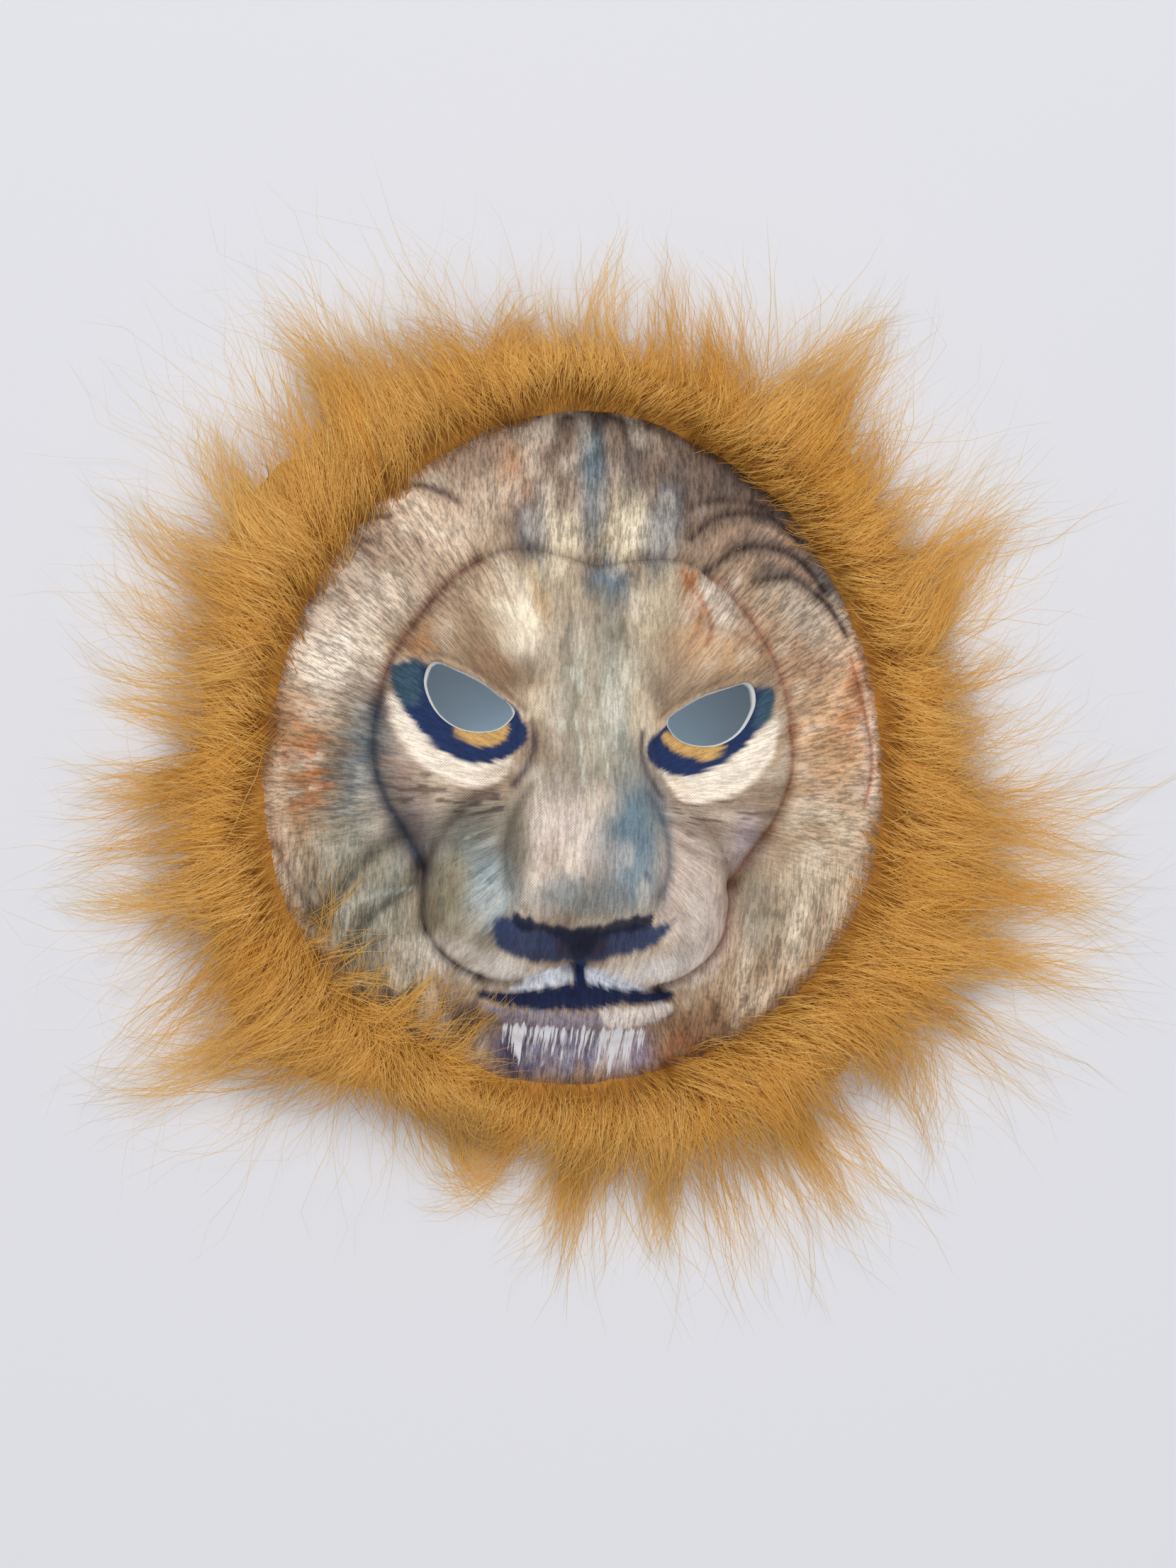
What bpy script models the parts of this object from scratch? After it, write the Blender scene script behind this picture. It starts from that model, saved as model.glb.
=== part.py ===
"""Lion face mask: a moulded foam shell under a printed cloth cover, with a long-pile fur mane round its rim.

The mask lies face up, as it does on a table: +Z is out of the face and +Y runs towards the top of the head.
All tables are in millimetres and degrees, measured from the middle of the face. The face tables hold
the right half, and the left half mirrors it. The mane is uneven, so its tables go all the way round.
"""

import math

import bmesh
import bpy
import numpy as np

MM = 0.001

# Sizes of the two face layers.
COVER_THICK = 1.0
FOAM_THICK = 3.0
LAYER_GAP = 0.3
COVER_HEM = 1.0
SKIRT_HEIGHT = 6.0
FOAM_EYE_MARGIN = 0.9

# Sizes of the dome under the features.
DOME_HEIGHT = 46.0
DOME_FULLNESS = 2.6
DOME_SHOULDER = 0.55

# The grid: spokes from a hub on the nose bridge, and the share of each spoke where a ring crosses it.
SPOKES = 48
HUB = (0.0, -17.0)
FACE_RINGS = (0.13, 0.28, 0.43, 0.57, 0.7, 0.81, 0.91, 1.0)
BORDER_RINGS = (0.12, 0.3, 0.5, 0.69, 0.85, 0.95, 1.0)

# Rim of the shell: bearing from the face's middle, and radius.
RIM = (
    (90, 124.0), (75, 121.5), (58, 118.0), (42, 114.5), (25, 113.0), (8, 113.0),
    (-9, 116.0), (-26, 121.0), (-42, 123.0), (-58, 123.0), (-75, 123.5), (-90, 124.5),
)

# Crease round the brow, the cheekbones and the muzzle: x and y.
FACE_CREASE = (
    (0, 61.1), (10, 63.0), (22.8, 64.9), (31.5, 64.1), (40, 60.1), (47.7, 54.1), (54, 46.6), (59.5, 38.6),
    (64.5, 30.6), (68.5, 21.1), (71, 9.6), (72, -1.9), (70.6, -11.9), (66.5, -22.4), (61, -30.4), (56, -37.9),
    (52.6, -44), (52.3, -53.4), (51.5, -62.4), (47, -70.4), (39.4, -76.7), (31, -80.4), (23, -81.6),
    (15, -80.4), (7, -77.4), (0, -74.4),
)

# Outline of the muzzle with the nose bridge: x and y.
MUZZLE = (
    (0, 36), (8, 32), (14, 22), (19, 9), (23, -3), (27.5, -12), (33, -18), (40, -23.5), (45.5, -30),
    (49.5, -37.5), (51.8, -45.4), (52.3, -53.4), (51.5, -62.4), (47, -70.4), (39.4, -76.7), (31, -80.4),
    (23, -81.6), (15, -80.4), (7, -77.4), (0, -74.4),
)

# Outline of the nose: x and y.
NOSE = (
    (0, -6), (11, -8.5), (19.5, -15), (24.4, -24), (26.8, -32.4), (27, -40.4), (25, -48), (20, -55.5),
    (11, -60), (0, -61.5),
)

# Outline of the lower lip and chin: x and y.
CHIN = ((0, -79), (16, -79.5), (28, -81), (37, -86), (34, -95), (19, -101.5), (0, -103.5))

# Outline of the right eye hole, whole: x and y.
EYE = (
    (25.3, 9.6), (30.5, 14.4), (37.5, 19.0), (46, 22.3), (53.6, 24.3), (56.2, 18.6), (54.3, 12.1),
    (50.4, 6.6), (44.5, 2.8), (37, 1.6), (29.4, 3.6),
)

# Pressed forms: name, outline, height over what it stands on, width of its rounded edge, and the
# length over which it rises from its top end.
RAISED = (
    ("face plate", FACE_CREASE, 7.0, 14.0, 1.0),
    ("muzzle", MUZZLE, 17.0, 21.0, 50.0),
    ("nose", NOSE, 9.0, 13.0, 18.0),
    ("chin", CHIN, 6.0, 11.0, 1.0),
)

# Soft swellings and hollows: x, y, half-width across, half-width along, and height.
PAIRED_SWELLS = (
    (24, 31, 13, 10, 4.0),
    (46, 37, 15, 9, 5.0),
    (41, 11, 18, 10, -4.5),
    (28, -60, 15, 15, 4.0),
    (52, -14, 14, 12, 2.0),
    (78, -56, 10, 17, 3.0),
    (62, 70, 16, 9, 2.0),
)
MIDDLE_SWELLS = (
    (0, 30, 12, 24, -1.5),
    (0, 58, 8, 11, -3.0),
    (0, -67, 5, 10, -5.0),
    (0, 92, 26, 14, 2.0),
)

# The mane's thick mass: bearing from the face's middle, and how far it spreads past the rim.
MANE_SPREAD = (
    (180, 29), (165, 35), (155, 44), (140, 46), (124, 45), (107, 36), (96, 29), (84, 28), (70, 34), (55, 44),
    (44, 38), (31, 34), (17, 33), (3, 38), (-9, 45), (-22, 57), (-36, 50), (-53, 40), (-63, 44), (-75, 41),
    (-90, 28), (-105, 21), (-117, 28), (-130, 45), (-142, 43), (-160, 37),
)

# Section of the mane, from its inner lip over its top to its outer edge. It leans in over the shell by
# the first numbers in millimetres, and goes out by the second ones as a share of the spread. The last
# number of each row is the height, as a share of the full height.
MANE_LEAN = ((-7.6, 0.86), (-2.0, 1.0))
MANE_PROFILE = ((0.18, 0.97), (0.42, 0.78), (0.7, 0.44), (1.0, 0.14), (0.95, 0.0))
MANE_HEIGHT = 30.0
MANE_GAP = 0.4
MANE_LIP = 3.0
MANE_OVERLAP_RINGS = 3

# Locks of the mane: bearing of the root, heading at the root, turn on the way to the tip, length and width.
LOCKS = (
    (180, -175, -28, 61, 24), (170, -147, -76, 73, 26), (162, -151, -85, 79, 26), (155, 155, 7, 65, 28),
    (149, 160, -66, 69, 26), (140, 125, -32, 78, 28), (133, 98, 40, 84, 28), (131, 104, 20, 64, 34),
    (122, 115, 12, 66, 34), (112, 107, 44, 50, 30), (103, 113, 24, 40, 28), (96, 98, -4, 46, 28),
    (89, 115, -57, 62, 24), (80, 76, 31, 71, 26), (70, 53, 70, 78, 26), (64, 45, 19, 83, 30),
    (57, 47, 15, 84, 34), (49, 23, 66, 71, 26), (42, 25, 29, 72, 26), (33, 18, 27, 99, 30),
    (25, -10, 87, 86, 28), (16, -15, 70, 74, 26), (7, -24, 76, 70, 26), (-2, -22, 61, 110, 26),
    (-11, -23, 54, 88, 30), (-20, -14, 28, 103, 32), (-29, -6, -6, 110, 32), (-37, -12, -26, 106, 30),
    (-45, -13, -72, 92, 28), (-53, -52, 17, 91, 28), (-58, -52, -5, 102, 28), (-64, -57, -1, 104, 30),
    (-70, -69, 5, 91, 30), (-76, -86, 21, 73, 30), (-82, -88, -12, 72, 28), (-88, -75, -74, 66, 24),
    (-98, -60, -140, 62, 18), (-113, -95, 76, 55, 18), (-123, -124, -15, 38, 24), (-129, -135, -50, 92, 34),
    (-144, -151, 26, 85, 30), (-153, -164, 30, 66, 28), (-163, -173, 16, 75, 28), (-171, -176, 4, 68, 26),
)
LOCK_STATIONS = 5
LOCK_SIDES = 5
LOCK_ROOT_OUT = 9.0
LOCK_ROOT_Z = 15.0
LOCK_ARCH = 6.0
LOCK_TIP_Z = 2.4
LOCK_DEPTH = 0.36
LOCK_TIP_WIDTH = 2.8
LOCK_TAPER = 1.15
FLOOR_CLEARANCE = 0.3


def clear_scene():
    for obj in list(bpy.data.objects):
        bpy.data.objects.remove(obj, do_unlink=True)


def material(name, colour, roughness):
    made = bpy.data.materials.new(name)
    made.use_nodes = True
    shader = made.node_tree.nodes["Principled BSDF"]
    shader.inputs["Base Color"].default_value = (*colour, 1.0)
    shader.inputs["Roughness"].default_value = roughness
    shader.inputs["Metallic"].default_value = 0.0
    return made


def add_object(name, bm):
    """A mesh object made from the bmesh, which is in millimetres."""
    bmesh.ops.scale(bm, vec=(MM, MM, MM), verts=bm.verts)
    mesh = bpy.data.meshes.new(name)
    bm.to_mesh(mesh)
    bm.free()
    obj = bpy.data.objects.new(name, mesh)
    bpy.context.scene.collection.objects.link(obj)
    return obj


def join_rings(bm, rings):
    """Faces between each ring of points and the next one, with the inner ring first."""
    for inner, outer in zip(rings, rings[1:]):
        count = len(inner)
        for k in range(count):
            n = (k + 1) % count
            bm.faces.new((inner[k], outer[k], outer[n], inner[n]))


def periodic(bearings, values, wanted):
    """Cubic through the values, which repeat every 360 degrees, read at the wanted bearings."""
    order = np.argsort(np.mod(bearings, 360.0))
    x = np.mod(bearings, 360.0)[order]
    y = np.asarray(values, float)[order]
    x = np.concatenate([x[-2:] - 360.0, x, x[:2] + 360.0])
    y = np.concatenate([y[-2:], y, y[:2]])
    slope = np.gradient(y, x)
    at = np.mod(wanted, 360.0)
    i = np.clip(np.searchsorted(x, at, side="right") - 1, 0, len(x) - 2)
    h = x[i + 1] - x[i]
    t = (at - x[i]) / h
    start, end = y[i], y[i + 1]
    lead, trail = slope[i] * h, slope[i + 1] * h
    return (
        start * (2 * t**3 - 3 * t**2 + 1) + lead * (t**3 - 2 * t**2 + t)
        + end * (3 * t**2 - 2 * t**3) + trail * (t**3 - t**2)
    )


def both_halves(half):
    """A right half from top to bottom, closed round by its mirror image."""
    right = np.array(half, float)
    left = right[-2:0:-1] * (-1, 1)
    return np.concatenate([right, left])


def smooth_loop(points, per_side=6):
    """Closed Catmull-Rom curve through the points."""
    p = np.asarray(points, float)
    before, after, beyond = np.roll(p, 1, 0), np.roll(p, -1, 0), np.roll(p, -2, 0)
    t = (np.arange(per_side) / per_side)[None, :, None]
    a, b, c, d = (q[:, None, :] for q in (before, p, after, beyond))
    curve = 0.5 * (
        2 * b + (c - a) * t + (2 * a - 5 * b + 4 * c - d) * t**2 + (3 * b - a - 3 * c + d) * t**3
    )
    return curve.reshape(-1, 2)


def inside_depth(x, y, loop):
    """Distance from the loop to each point, positive inside it."""
    p = np.stack([x, y], -1)[..., None, :]
    a, b = loop, np.roll(loop, -1, 0)
    edge = b - a
    share = np.clip(((p - a) * edge).sum(-1) / (edge**2).sum(-1), 0, 1)
    gap = p - (a + share[..., None] * edge)
    distance = np.sqrt((gap**2).sum(-1)).min(-1)
    crosses = (a[:, 1] > p[..., 1]) != (b[:, 1] > p[..., 1])
    rise = np.where(edge[:, 1] == 0, 1.0, edge[:, 1])
    at_x = a[:, 0] + (p[..., 1] - a[:, 1]) * edge[:, 0] / rise
    inside = (crosses & (p[..., 0] < at_x)).sum(-1) % 2 == 1
    return np.where(inside, distance, -distance)


def rounded_edge(depth, width):
    """0 at the outline and 1 from one width inside it, on a sine that starts steeply."""
    return np.sin(0.5 * math.pi * np.clip(depth / width, 0, 1)) ** 0.8


def rim_radius(bearing):
    whole = [(b, r) for b, r in RIM] + [(180 - b, r) for b, r in RIM[1:-1]]
    bearings, radii = np.array(whole, float).T
    return periodic(bearings, radii, bearing)


def swell(x, y, middle_x, middle_y, across, along):
    return np.exp(-(((x - middle_x) / across) ** 2) - ((y - middle_y) / along) ** 2)


def face_height(x, y):
    """Height of the face over the table: a dome, with the pressed forms and soft swellings on it."""
    bearing = np.degrees(np.arctan2(y, x))
    share = np.clip(np.hypot(x, y) / rim_radius(bearing), 0, 1)
    z = SKIRT_HEIGHT + (DOME_HEIGHT - SKIRT_HEIGHT) * (1 - share**DOME_FULLNESS) ** DOME_SHOULDER
    for _, outline, height, edge, rise in RAISED:
        loop = smooth_loop(both_halves(outline))
        along = np.clip((loop[:, 1].max() - y) / rise, 0, 1)
        z = z + height * along**2 * (3 - 2 * along) * rounded_edge(inside_depth(x, y, loop), edge)
    for side_x, side_y, across, along, height in PAIRED_SWELLS:
        z = z + height * swell(x, y, side_x, side_y, across, along)
        z = z + height * swell(x, y, -side_x, side_y, across, along)
    for middle_x, middle_y, across, along, height in MIDDLE_SWELLS:
        z = z + height * swell(x, y, middle_x, middle_y, across, along)
    return z


def spoke_reach(loop, bearings):
    """How far from the hub each spoke meets the loop."""
    away = loop - HUB
    return periodic(np.degrees(np.arctan2(away[:, 1], away[:, 0])), np.hypot(*away.T), bearings)


def face_grid():
    """Rings of points from the hub out to the top of the skirt."""
    bearings = 90.0 + np.arange(SPOKES) * 360.0 / SPOKES
    crease = spoke_reach(smooth_loop(both_halves(FACE_CREASE)), bearings)
    around = np.arange(0, 360, 5.0)
    direction = np.stack([np.cos(np.radians(around)), np.sin(np.radians(around))], -1)
    rim = spoke_reach(rim_radius(around)[:, None] * direction, bearings)
    reaches = [crease * share for share in FACE_RINGS]
    reaches += [crease + (rim - crease) * share for share in BORDER_RINGS]
    reach = np.array(reaches)
    x = HUB[0] + reach * np.cos(np.radians(bearings))
    y = HUB[1] + reach * np.sin(np.radians(bearings))
    z = face_height(x, y)
    z[-1] = SKIRT_HEIGHT
    return np.stack([x, y, z], -1)


def face_skin(hem, inset):
    """The open skin of the face in triangles, moved inwards by the inset, and its rings of points."""
    grid = face_grid()
    bm = bmesh.new()
    hub_height = float(face_height(np.array([HUB[0]]), np.array([HUB[1]]))[0])
    hub = bm.verts.new((*HUB, hub_height))
    rings = [[bm.verts.new(point) for point in ring] for ring in grid]
    rings.append([bm.verts.new((x, y, hem)) for x, y, _ in grid[-1]])
    for k in range(SPOKES):
        bm.faces.new((hub, rings[0][k], rings[0][(k + 1) % SPOKES]))
    join_rings(bm, rings)
    bmesh.ops.triangulate(bm, faces=bm.faces[:], quad_method="FIXED")
    bm.normal_update()
    for vertex, normal in [(v, v.normal.copy()) for v in bm.verts]:
        vertex.co -= normal * inset
    for top, bottom in zip(rings[-2], rings[-1]):
        bottom.co.z = hem
        top.co.xy = bottom.co.xy
    return bm, rings


def eye_cutter(name, side, margin):
    """A tall prism of the eye hole's outline, made smaller all round by the margin."""
    loop = smooth_loop(EYE, per_side=2) * (side, 1)
    middle = loop.mean(0)
    away = loop - middle
    loop = middle + away * (1 - margin / np.hypot(*away.T))[:, None]
    bm = bmesh.new()
    face = bm.faces.new([bm.verts.new((x, y, 10.0)) for x, y in loop])
    lifted = bmesh.ops.extrude_face_region(bm, geom=[face])["geom"]
    top = [item for item in lifted if isinstance(item, bmesh.types.BMVert)]
    bmesh.ops.translate(bm, vec=(0, 0, 100.0), verts=top)
    bmesh.ops.recalc_face_normals(bm, faces=bm.faces)
    cutter = add_object(name, bm)
    cutter.hide_render = True
    cutter.display_type = "WIRE"
    return cutter


def face_layer(name, hem, inset, thickness, eye_margin, finish):
    """One layer of the face: the skin given its thickness inwards, with both eye holes cut through."""
    bm, _ = face_skin(hem, inset)
    layer = add_object(name, bm)
    wall = layer.modifiers.new("wall", "SOLIDIFY")
    wall.thickness = thickness * MM
    wall.offset = -1.0
    for side, word in ((1, "right"), (-1, "left")):
        hole = layer.modifiers.new(f"{word} eye", "BOOLEAN")
        hole.operation = "DIFFERENCE"
        hole.solver = "EXACT"
        hole.object = eye_cutter(f"{name}_{word}_eye_cutter", side, eye_margin)
    layer.data.materials.append(finish)
    layer.data.shade_smooth()
    return layer


def outward_of(rim):
    """Directions square to the rim, seen from above."""
    along = np.roll(rim, -1, 0) - np.roll(rim, 1, 0)
    outward = np.stack([along[:, 1], -along[:, 0]], -1)
    return outward / np.hypot(*outward.T)[:, None]


def mane_sections():
    """Rings of the mane: up the shell's rim at a small gap, then over the top and down to the floor."""
    bm, skin = face_skin(0.0, -MANE_GAP)
    hugging = [np.array([v.co for v in ring]) for ring in skin[-2 - MANE_OVERLAP_RINGS + 1 :]][::-1]
    bm.free()
    rim = face_grid()[-1][:, :2]
    outward = outward_of(rim)
    bearings = np.degrees(np.arctan2(rim[:, 1], rim[:, 0]))
    spread = periodic(*np.array(MANE_SPREAD, float).T, bearings)
    sections = hugging + [hugging[-1] + (0, 0, MANE_LIP)]
    for lean, up in MANE_LEAN:
        sections.append(np.column_stack([rim + outward * lean, np.full(SPOKES, MANE_HEIGHT * up)]))
    for share, up in MANE_PROFILE:
        flat = rim + outward * (spread * share)[:, None]
        sections.append(np.column_stack([flat, np.full(SPOKES, MANE_HEIGHT * up)]))
    return sections


def lock_path(root_bearing, heading, turn, length):
    """Points down a lock: an arc seen from above, that arches up from its root and lies down at its tip."""
    share = np.linspace(0, 1, LOCK_STATIONS + 1)
    reach = float(rim_radius(np.array([root_bearing], float))[0]) + LOCK_ROOT_OUT
    root = math.radians(root_bearing)
    start = np.array([reach * math.cos(root), reach * math.sin(root)])
    middle = np.radians(heading + turn * (share[:-1] + share[1:]) / 2)
    steps = np.stack([np.cos(middle), np.sin(middle)], -1) * (length / LOCK_STATIONS)
    flat = start + np.concatenate([np.zeros((1, 2)), np.cumsum(steps, 0)])
    z = LOCK_ROOT_Z * (1 - share) ** 1.2 + LOCK_TIP_Z * share + LOCK_ARCH * np.sin(math.pi * share**0.7)
    return share, np.column_stack([flat, z]), np.radians(heading + turn * share)


def lock(name, root_bearing, heading, turn, length, width):
    """One tapering lock of fur with a flattened section."""
    share, path, directions = lock_path(root_bearing, heading, turn, length)
    half_width = 0.5 * (width + (LOCK_TIP_WIDTH - width) * share**LOCK_TAPER)
    half_depth = np.minimum(2 * half_width * LOCK_DEPTH, path[:, 2] - FLOOR_CLEARANCE)
    around = np.arange(LOCK_SIDES) * 2 * math.pi / LOCK_SIDES - 0.5 * math.pi
    bm = bmesh.new()
    rings = []
    for point, direction, wide, deep in zip(path, directions, half_width, half_depth):
        sideways = np.array([-math.sin(direction), math.cos(direction), 0.0])
        upright = np.array([0.0, 0.0, 1.0])
        corners = [point + sideways * wide * math.cos(a) + upright * deep * math.sin(a) for a in around]
        rings.append([bm.verts.new(corner) for corner in corners])
    join_rings(bm, rings)
    bm.faces.new(rings[0])
    bm.faces.new(rings[-1])
    bmesh.ops.triangulate(bm, faces=bm.faces[:])
    bmesh.ops.recalc_face_normals(bm, faces=bm.faces)
    made = add_object(name, bm)
    made.hide_render = True
    made.display_type = "WIRE"
    return made


def add_mane(finish):
    """The thick mass of fur on its backing, with every lock joined to it by a Boolean union."""
    bm = bmesh.new()
    sections = mane_sections()
    rings = [[bm.verts.new(point) for point in section] for section in sections]
    join_rings(bm, rings + rings[:1])
    bmesh.ops.triangulate(bm, faces=bm.faces[:], quad_method="FIXED")
    bmesh.ops.recalc_face_normals(bm, faces=bm.faces)
    mane = add_object("mane", bm)
    for number, row in enumerate(LOCKS, 1):
        join = mane.modifiers.new(f"lock {number}", "BOOLEAN")
        join.operation = "UNION"
        join.solver = "EXACT"
        join.object = lock(f"lock_{number}", *row)
    mane.data.materials.append(finish)
    return mane


def centre_on_origin():
    """Moves every mesh so that the middle of the mask's footprint is at the origin."""
    points = [v.co for obj in bpy.data.objects for v in obj.data.vertices]
    middle_x = (min(p.x for p in points) + max(p.x for p in points)) / 2
    middle_y = (min(p.y for p in points) + max(p.y for p in points)) / 2
    for obj in bpy.data.objects:
        for vertex in obj.data.vertices:
            vertex.co.x -= middle_x
            vertex.co.y -= middle_y
    print(f"face middle at x {-middle_x / MM:.2f} mm, y {-middle_y / MM:.2f} mm")


def main():
    clear_scene()
    printed_cloth = material("printed_cloth", (0.42, 0.33, 0.24), 0.85)
    white_foam = material("white_foam", (0.85, 0.85, 0.83), 0.7)
    gold_fur = material("gold_fur", (0.52, 0.27, 0.06), 0.65)
    face_layer("printed_cover", COVER_HEM, 0.0, COVER_THICK, 0.0, printed_cloth)
    face_layer("foam_shell", 0.0, COVER_THICK + LAYER_GAP, FOAM_THICK, FOAM_EYE_MARGIN, white_foam)
    add_mane(gold_fur)
    centre_on_origin()


main()
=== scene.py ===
"""Looks of the lion face mask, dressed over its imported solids.

The mask lies face up. +Z is out of the face and +Y runs towards the top of the head. Tables are in
millimetres and degrees, measured from the middle of the face, until a mesh is made in metres.
"""

import math

import bpy
import numpy as np
from mathutils import Matrix, Vector


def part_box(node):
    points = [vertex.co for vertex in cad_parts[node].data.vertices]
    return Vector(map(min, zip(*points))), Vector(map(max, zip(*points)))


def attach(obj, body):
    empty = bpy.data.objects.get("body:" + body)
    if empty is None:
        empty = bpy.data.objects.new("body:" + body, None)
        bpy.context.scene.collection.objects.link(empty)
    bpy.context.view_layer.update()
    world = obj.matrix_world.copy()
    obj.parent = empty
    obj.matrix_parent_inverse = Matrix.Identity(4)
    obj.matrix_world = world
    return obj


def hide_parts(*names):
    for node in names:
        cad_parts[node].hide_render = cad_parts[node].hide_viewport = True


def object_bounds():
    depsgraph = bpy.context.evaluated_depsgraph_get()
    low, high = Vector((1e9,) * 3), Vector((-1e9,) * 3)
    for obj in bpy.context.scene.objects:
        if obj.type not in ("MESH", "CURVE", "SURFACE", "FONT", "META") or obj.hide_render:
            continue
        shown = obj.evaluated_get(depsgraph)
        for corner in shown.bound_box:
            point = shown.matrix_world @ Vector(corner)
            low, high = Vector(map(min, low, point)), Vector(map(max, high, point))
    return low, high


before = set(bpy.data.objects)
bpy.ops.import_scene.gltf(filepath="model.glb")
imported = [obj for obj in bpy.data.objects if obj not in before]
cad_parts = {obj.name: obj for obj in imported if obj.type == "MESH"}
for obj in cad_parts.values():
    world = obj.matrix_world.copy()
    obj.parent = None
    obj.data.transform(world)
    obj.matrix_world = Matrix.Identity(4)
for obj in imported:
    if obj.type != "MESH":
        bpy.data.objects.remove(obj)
cad_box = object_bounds()

MM = 0.001

# Sizes of the two face layers.
COVER_THICK = 1.0
FOAM_THICK = 3.0
LAYER_GAP = 0.3
COVER_HEM = 1.0
SKIRT_HEIGHT = 6.0
FOAM_EYE_MARGIN = 0.9

# The middle of the face in the frame: half way across the cover's box, and the rim's top radius below
# its top end.
RIM_TOP = 124.0
COVER_LOW, COVER_HIGH = (np.array(corner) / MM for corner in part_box("printed_cover"))
FACE_AT = np.array([(COVER_LOW[0] + COVER_HIGH[0]) / 2, COVER_HIGH[1] - RIM_TOP, 0.0])

# Sizes of the dome under the features.
DOME_HEIGHT = 46.0
DOME_FULLNESS = 2.6
DOME_SHOULDER = 0.55

# Rim of the shell: bearing from the face's middle, and radius.
RIM = (
    (90, 124.0), (75, 121.5), (58, 118.0), (42, 114.5), (25, 113.0), (8, 113.0),
    (-9, 116.0), (-26, 121.0), (-42, 123.0), (-58, 123.0), (-75, 123.5), (-90, 124.5),
)

# Crease round the brow, the cheekbones and the muzzle: x and y.
FACE_CREASE = (
    (0, 61.1), (10, 63.0), (22.8, 64.9), (31.5, 64.1), (40, 60.1), (47.7, 54.1), (54, 46.6),
    (59.5, 38.6), (64.5, 30.6), (68.5, 21.1), (71, 9.6), (72, -1.9), (70.6, -11.9), (66.5, -22.4),
    (61, -30.4), (56, -37.9), (52.6, -44), (52.3, -53.4), (51.5, -62.4), (47, -70.4), (39.4, -76.7),
    (31, -80.4), (23, -81.6), (15, -80.4), (7, -77.4), (0, -74.4),
)

# Outline of the muzzle with the nose bridge: x and y. It ends along the crease.
MUZZLE = (
    (0, 36), (8, 32), (14, 22), (19, 9), (23, -3), (27.5, -12), (33, -18), (40, -23.5), (45.5, -30),
    (49.5, -37.5), (51.8, -45.4), *FACE_CREASE[17:],
)

# Outline of the nose: x and y.
NOSE = (
    (0, -6), (11, -8.5), (19.5, -15), (24.4, -24), (26.8, -32.4), (27, -40.4), (25, -48), (20, -55.5),
    (11, -60), (0, -61.5),
)

# Outline of the lower lip and chin: x and y.
CHIN = ((0, -79), (16, -79.5), (28, -81), (37, -86), (34, -95), (19, -101.5), (0, -103.5))

# Outline of the right eye hole, whole: x and y.
EYE = (
    (25.3, 9.6), (30.5, 14.4), (37.5, 19.0), (46, 22.3), (53.6, 24.3), (56.2, 18.6), (54.3, 12.1),
    (50.4, 6.6), (44.5, 2.8), (37, 1.6), (29.4, 3.6),
)

# Pressed forms: name, outline, height over what it stands on, width of its rounded edge, and the
# length over which it rises from its top end.
RAISED = (
    ("face plate", FACE_CREASE, 7.0, 14.0, 1.0),
    ("muzzle", MUZZLE, 17.0, 21.0, 50.0),
    ("nose", NOSE, 9.0, 13.0, 18.0),
    ("chin", CHIN, 6.0, 11.0, 1.0),
)

# Soft swellings and hollows: x, y, half-width across, half-width along, and height.
PAIRED_SWELLS = (
    (24, 31, 13, 10, 4.0), (46, 37, 15, 9, 5.0), (41, 11, 18, 10, -4.5), (28, -60, 15, 15, 4.0),
    (52, -14, 14, 12, 2.0), (78, -56, 10, 17, 3.0), (62, 70, 16, 9, 2.0), (13, -64, 6, 4, -2.2),
)
MIDDLE_SWELLS = (
    (0, 30, 12, 24, -1.5), (0, 58, 8, 11, -3.0), (0, -67, 5, 10, -5.0), (0, 92, 26, 14, 2.0),
    (0, -69, 2.2, 8, -1.6),
)

# Colours that the print uses in several places.
TAN, DARK_BROWN = "#b89c80", "#4f3f38"
TEAL, NAVY, LILAC, OCHRE = "#3f5a66", "#1f3058", "#f4f7ff", "#cda261"

# Sides on which a crease lies.
RIGHT, LEFT, BOTH = (1,), (-1,), (1, -1)

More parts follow.
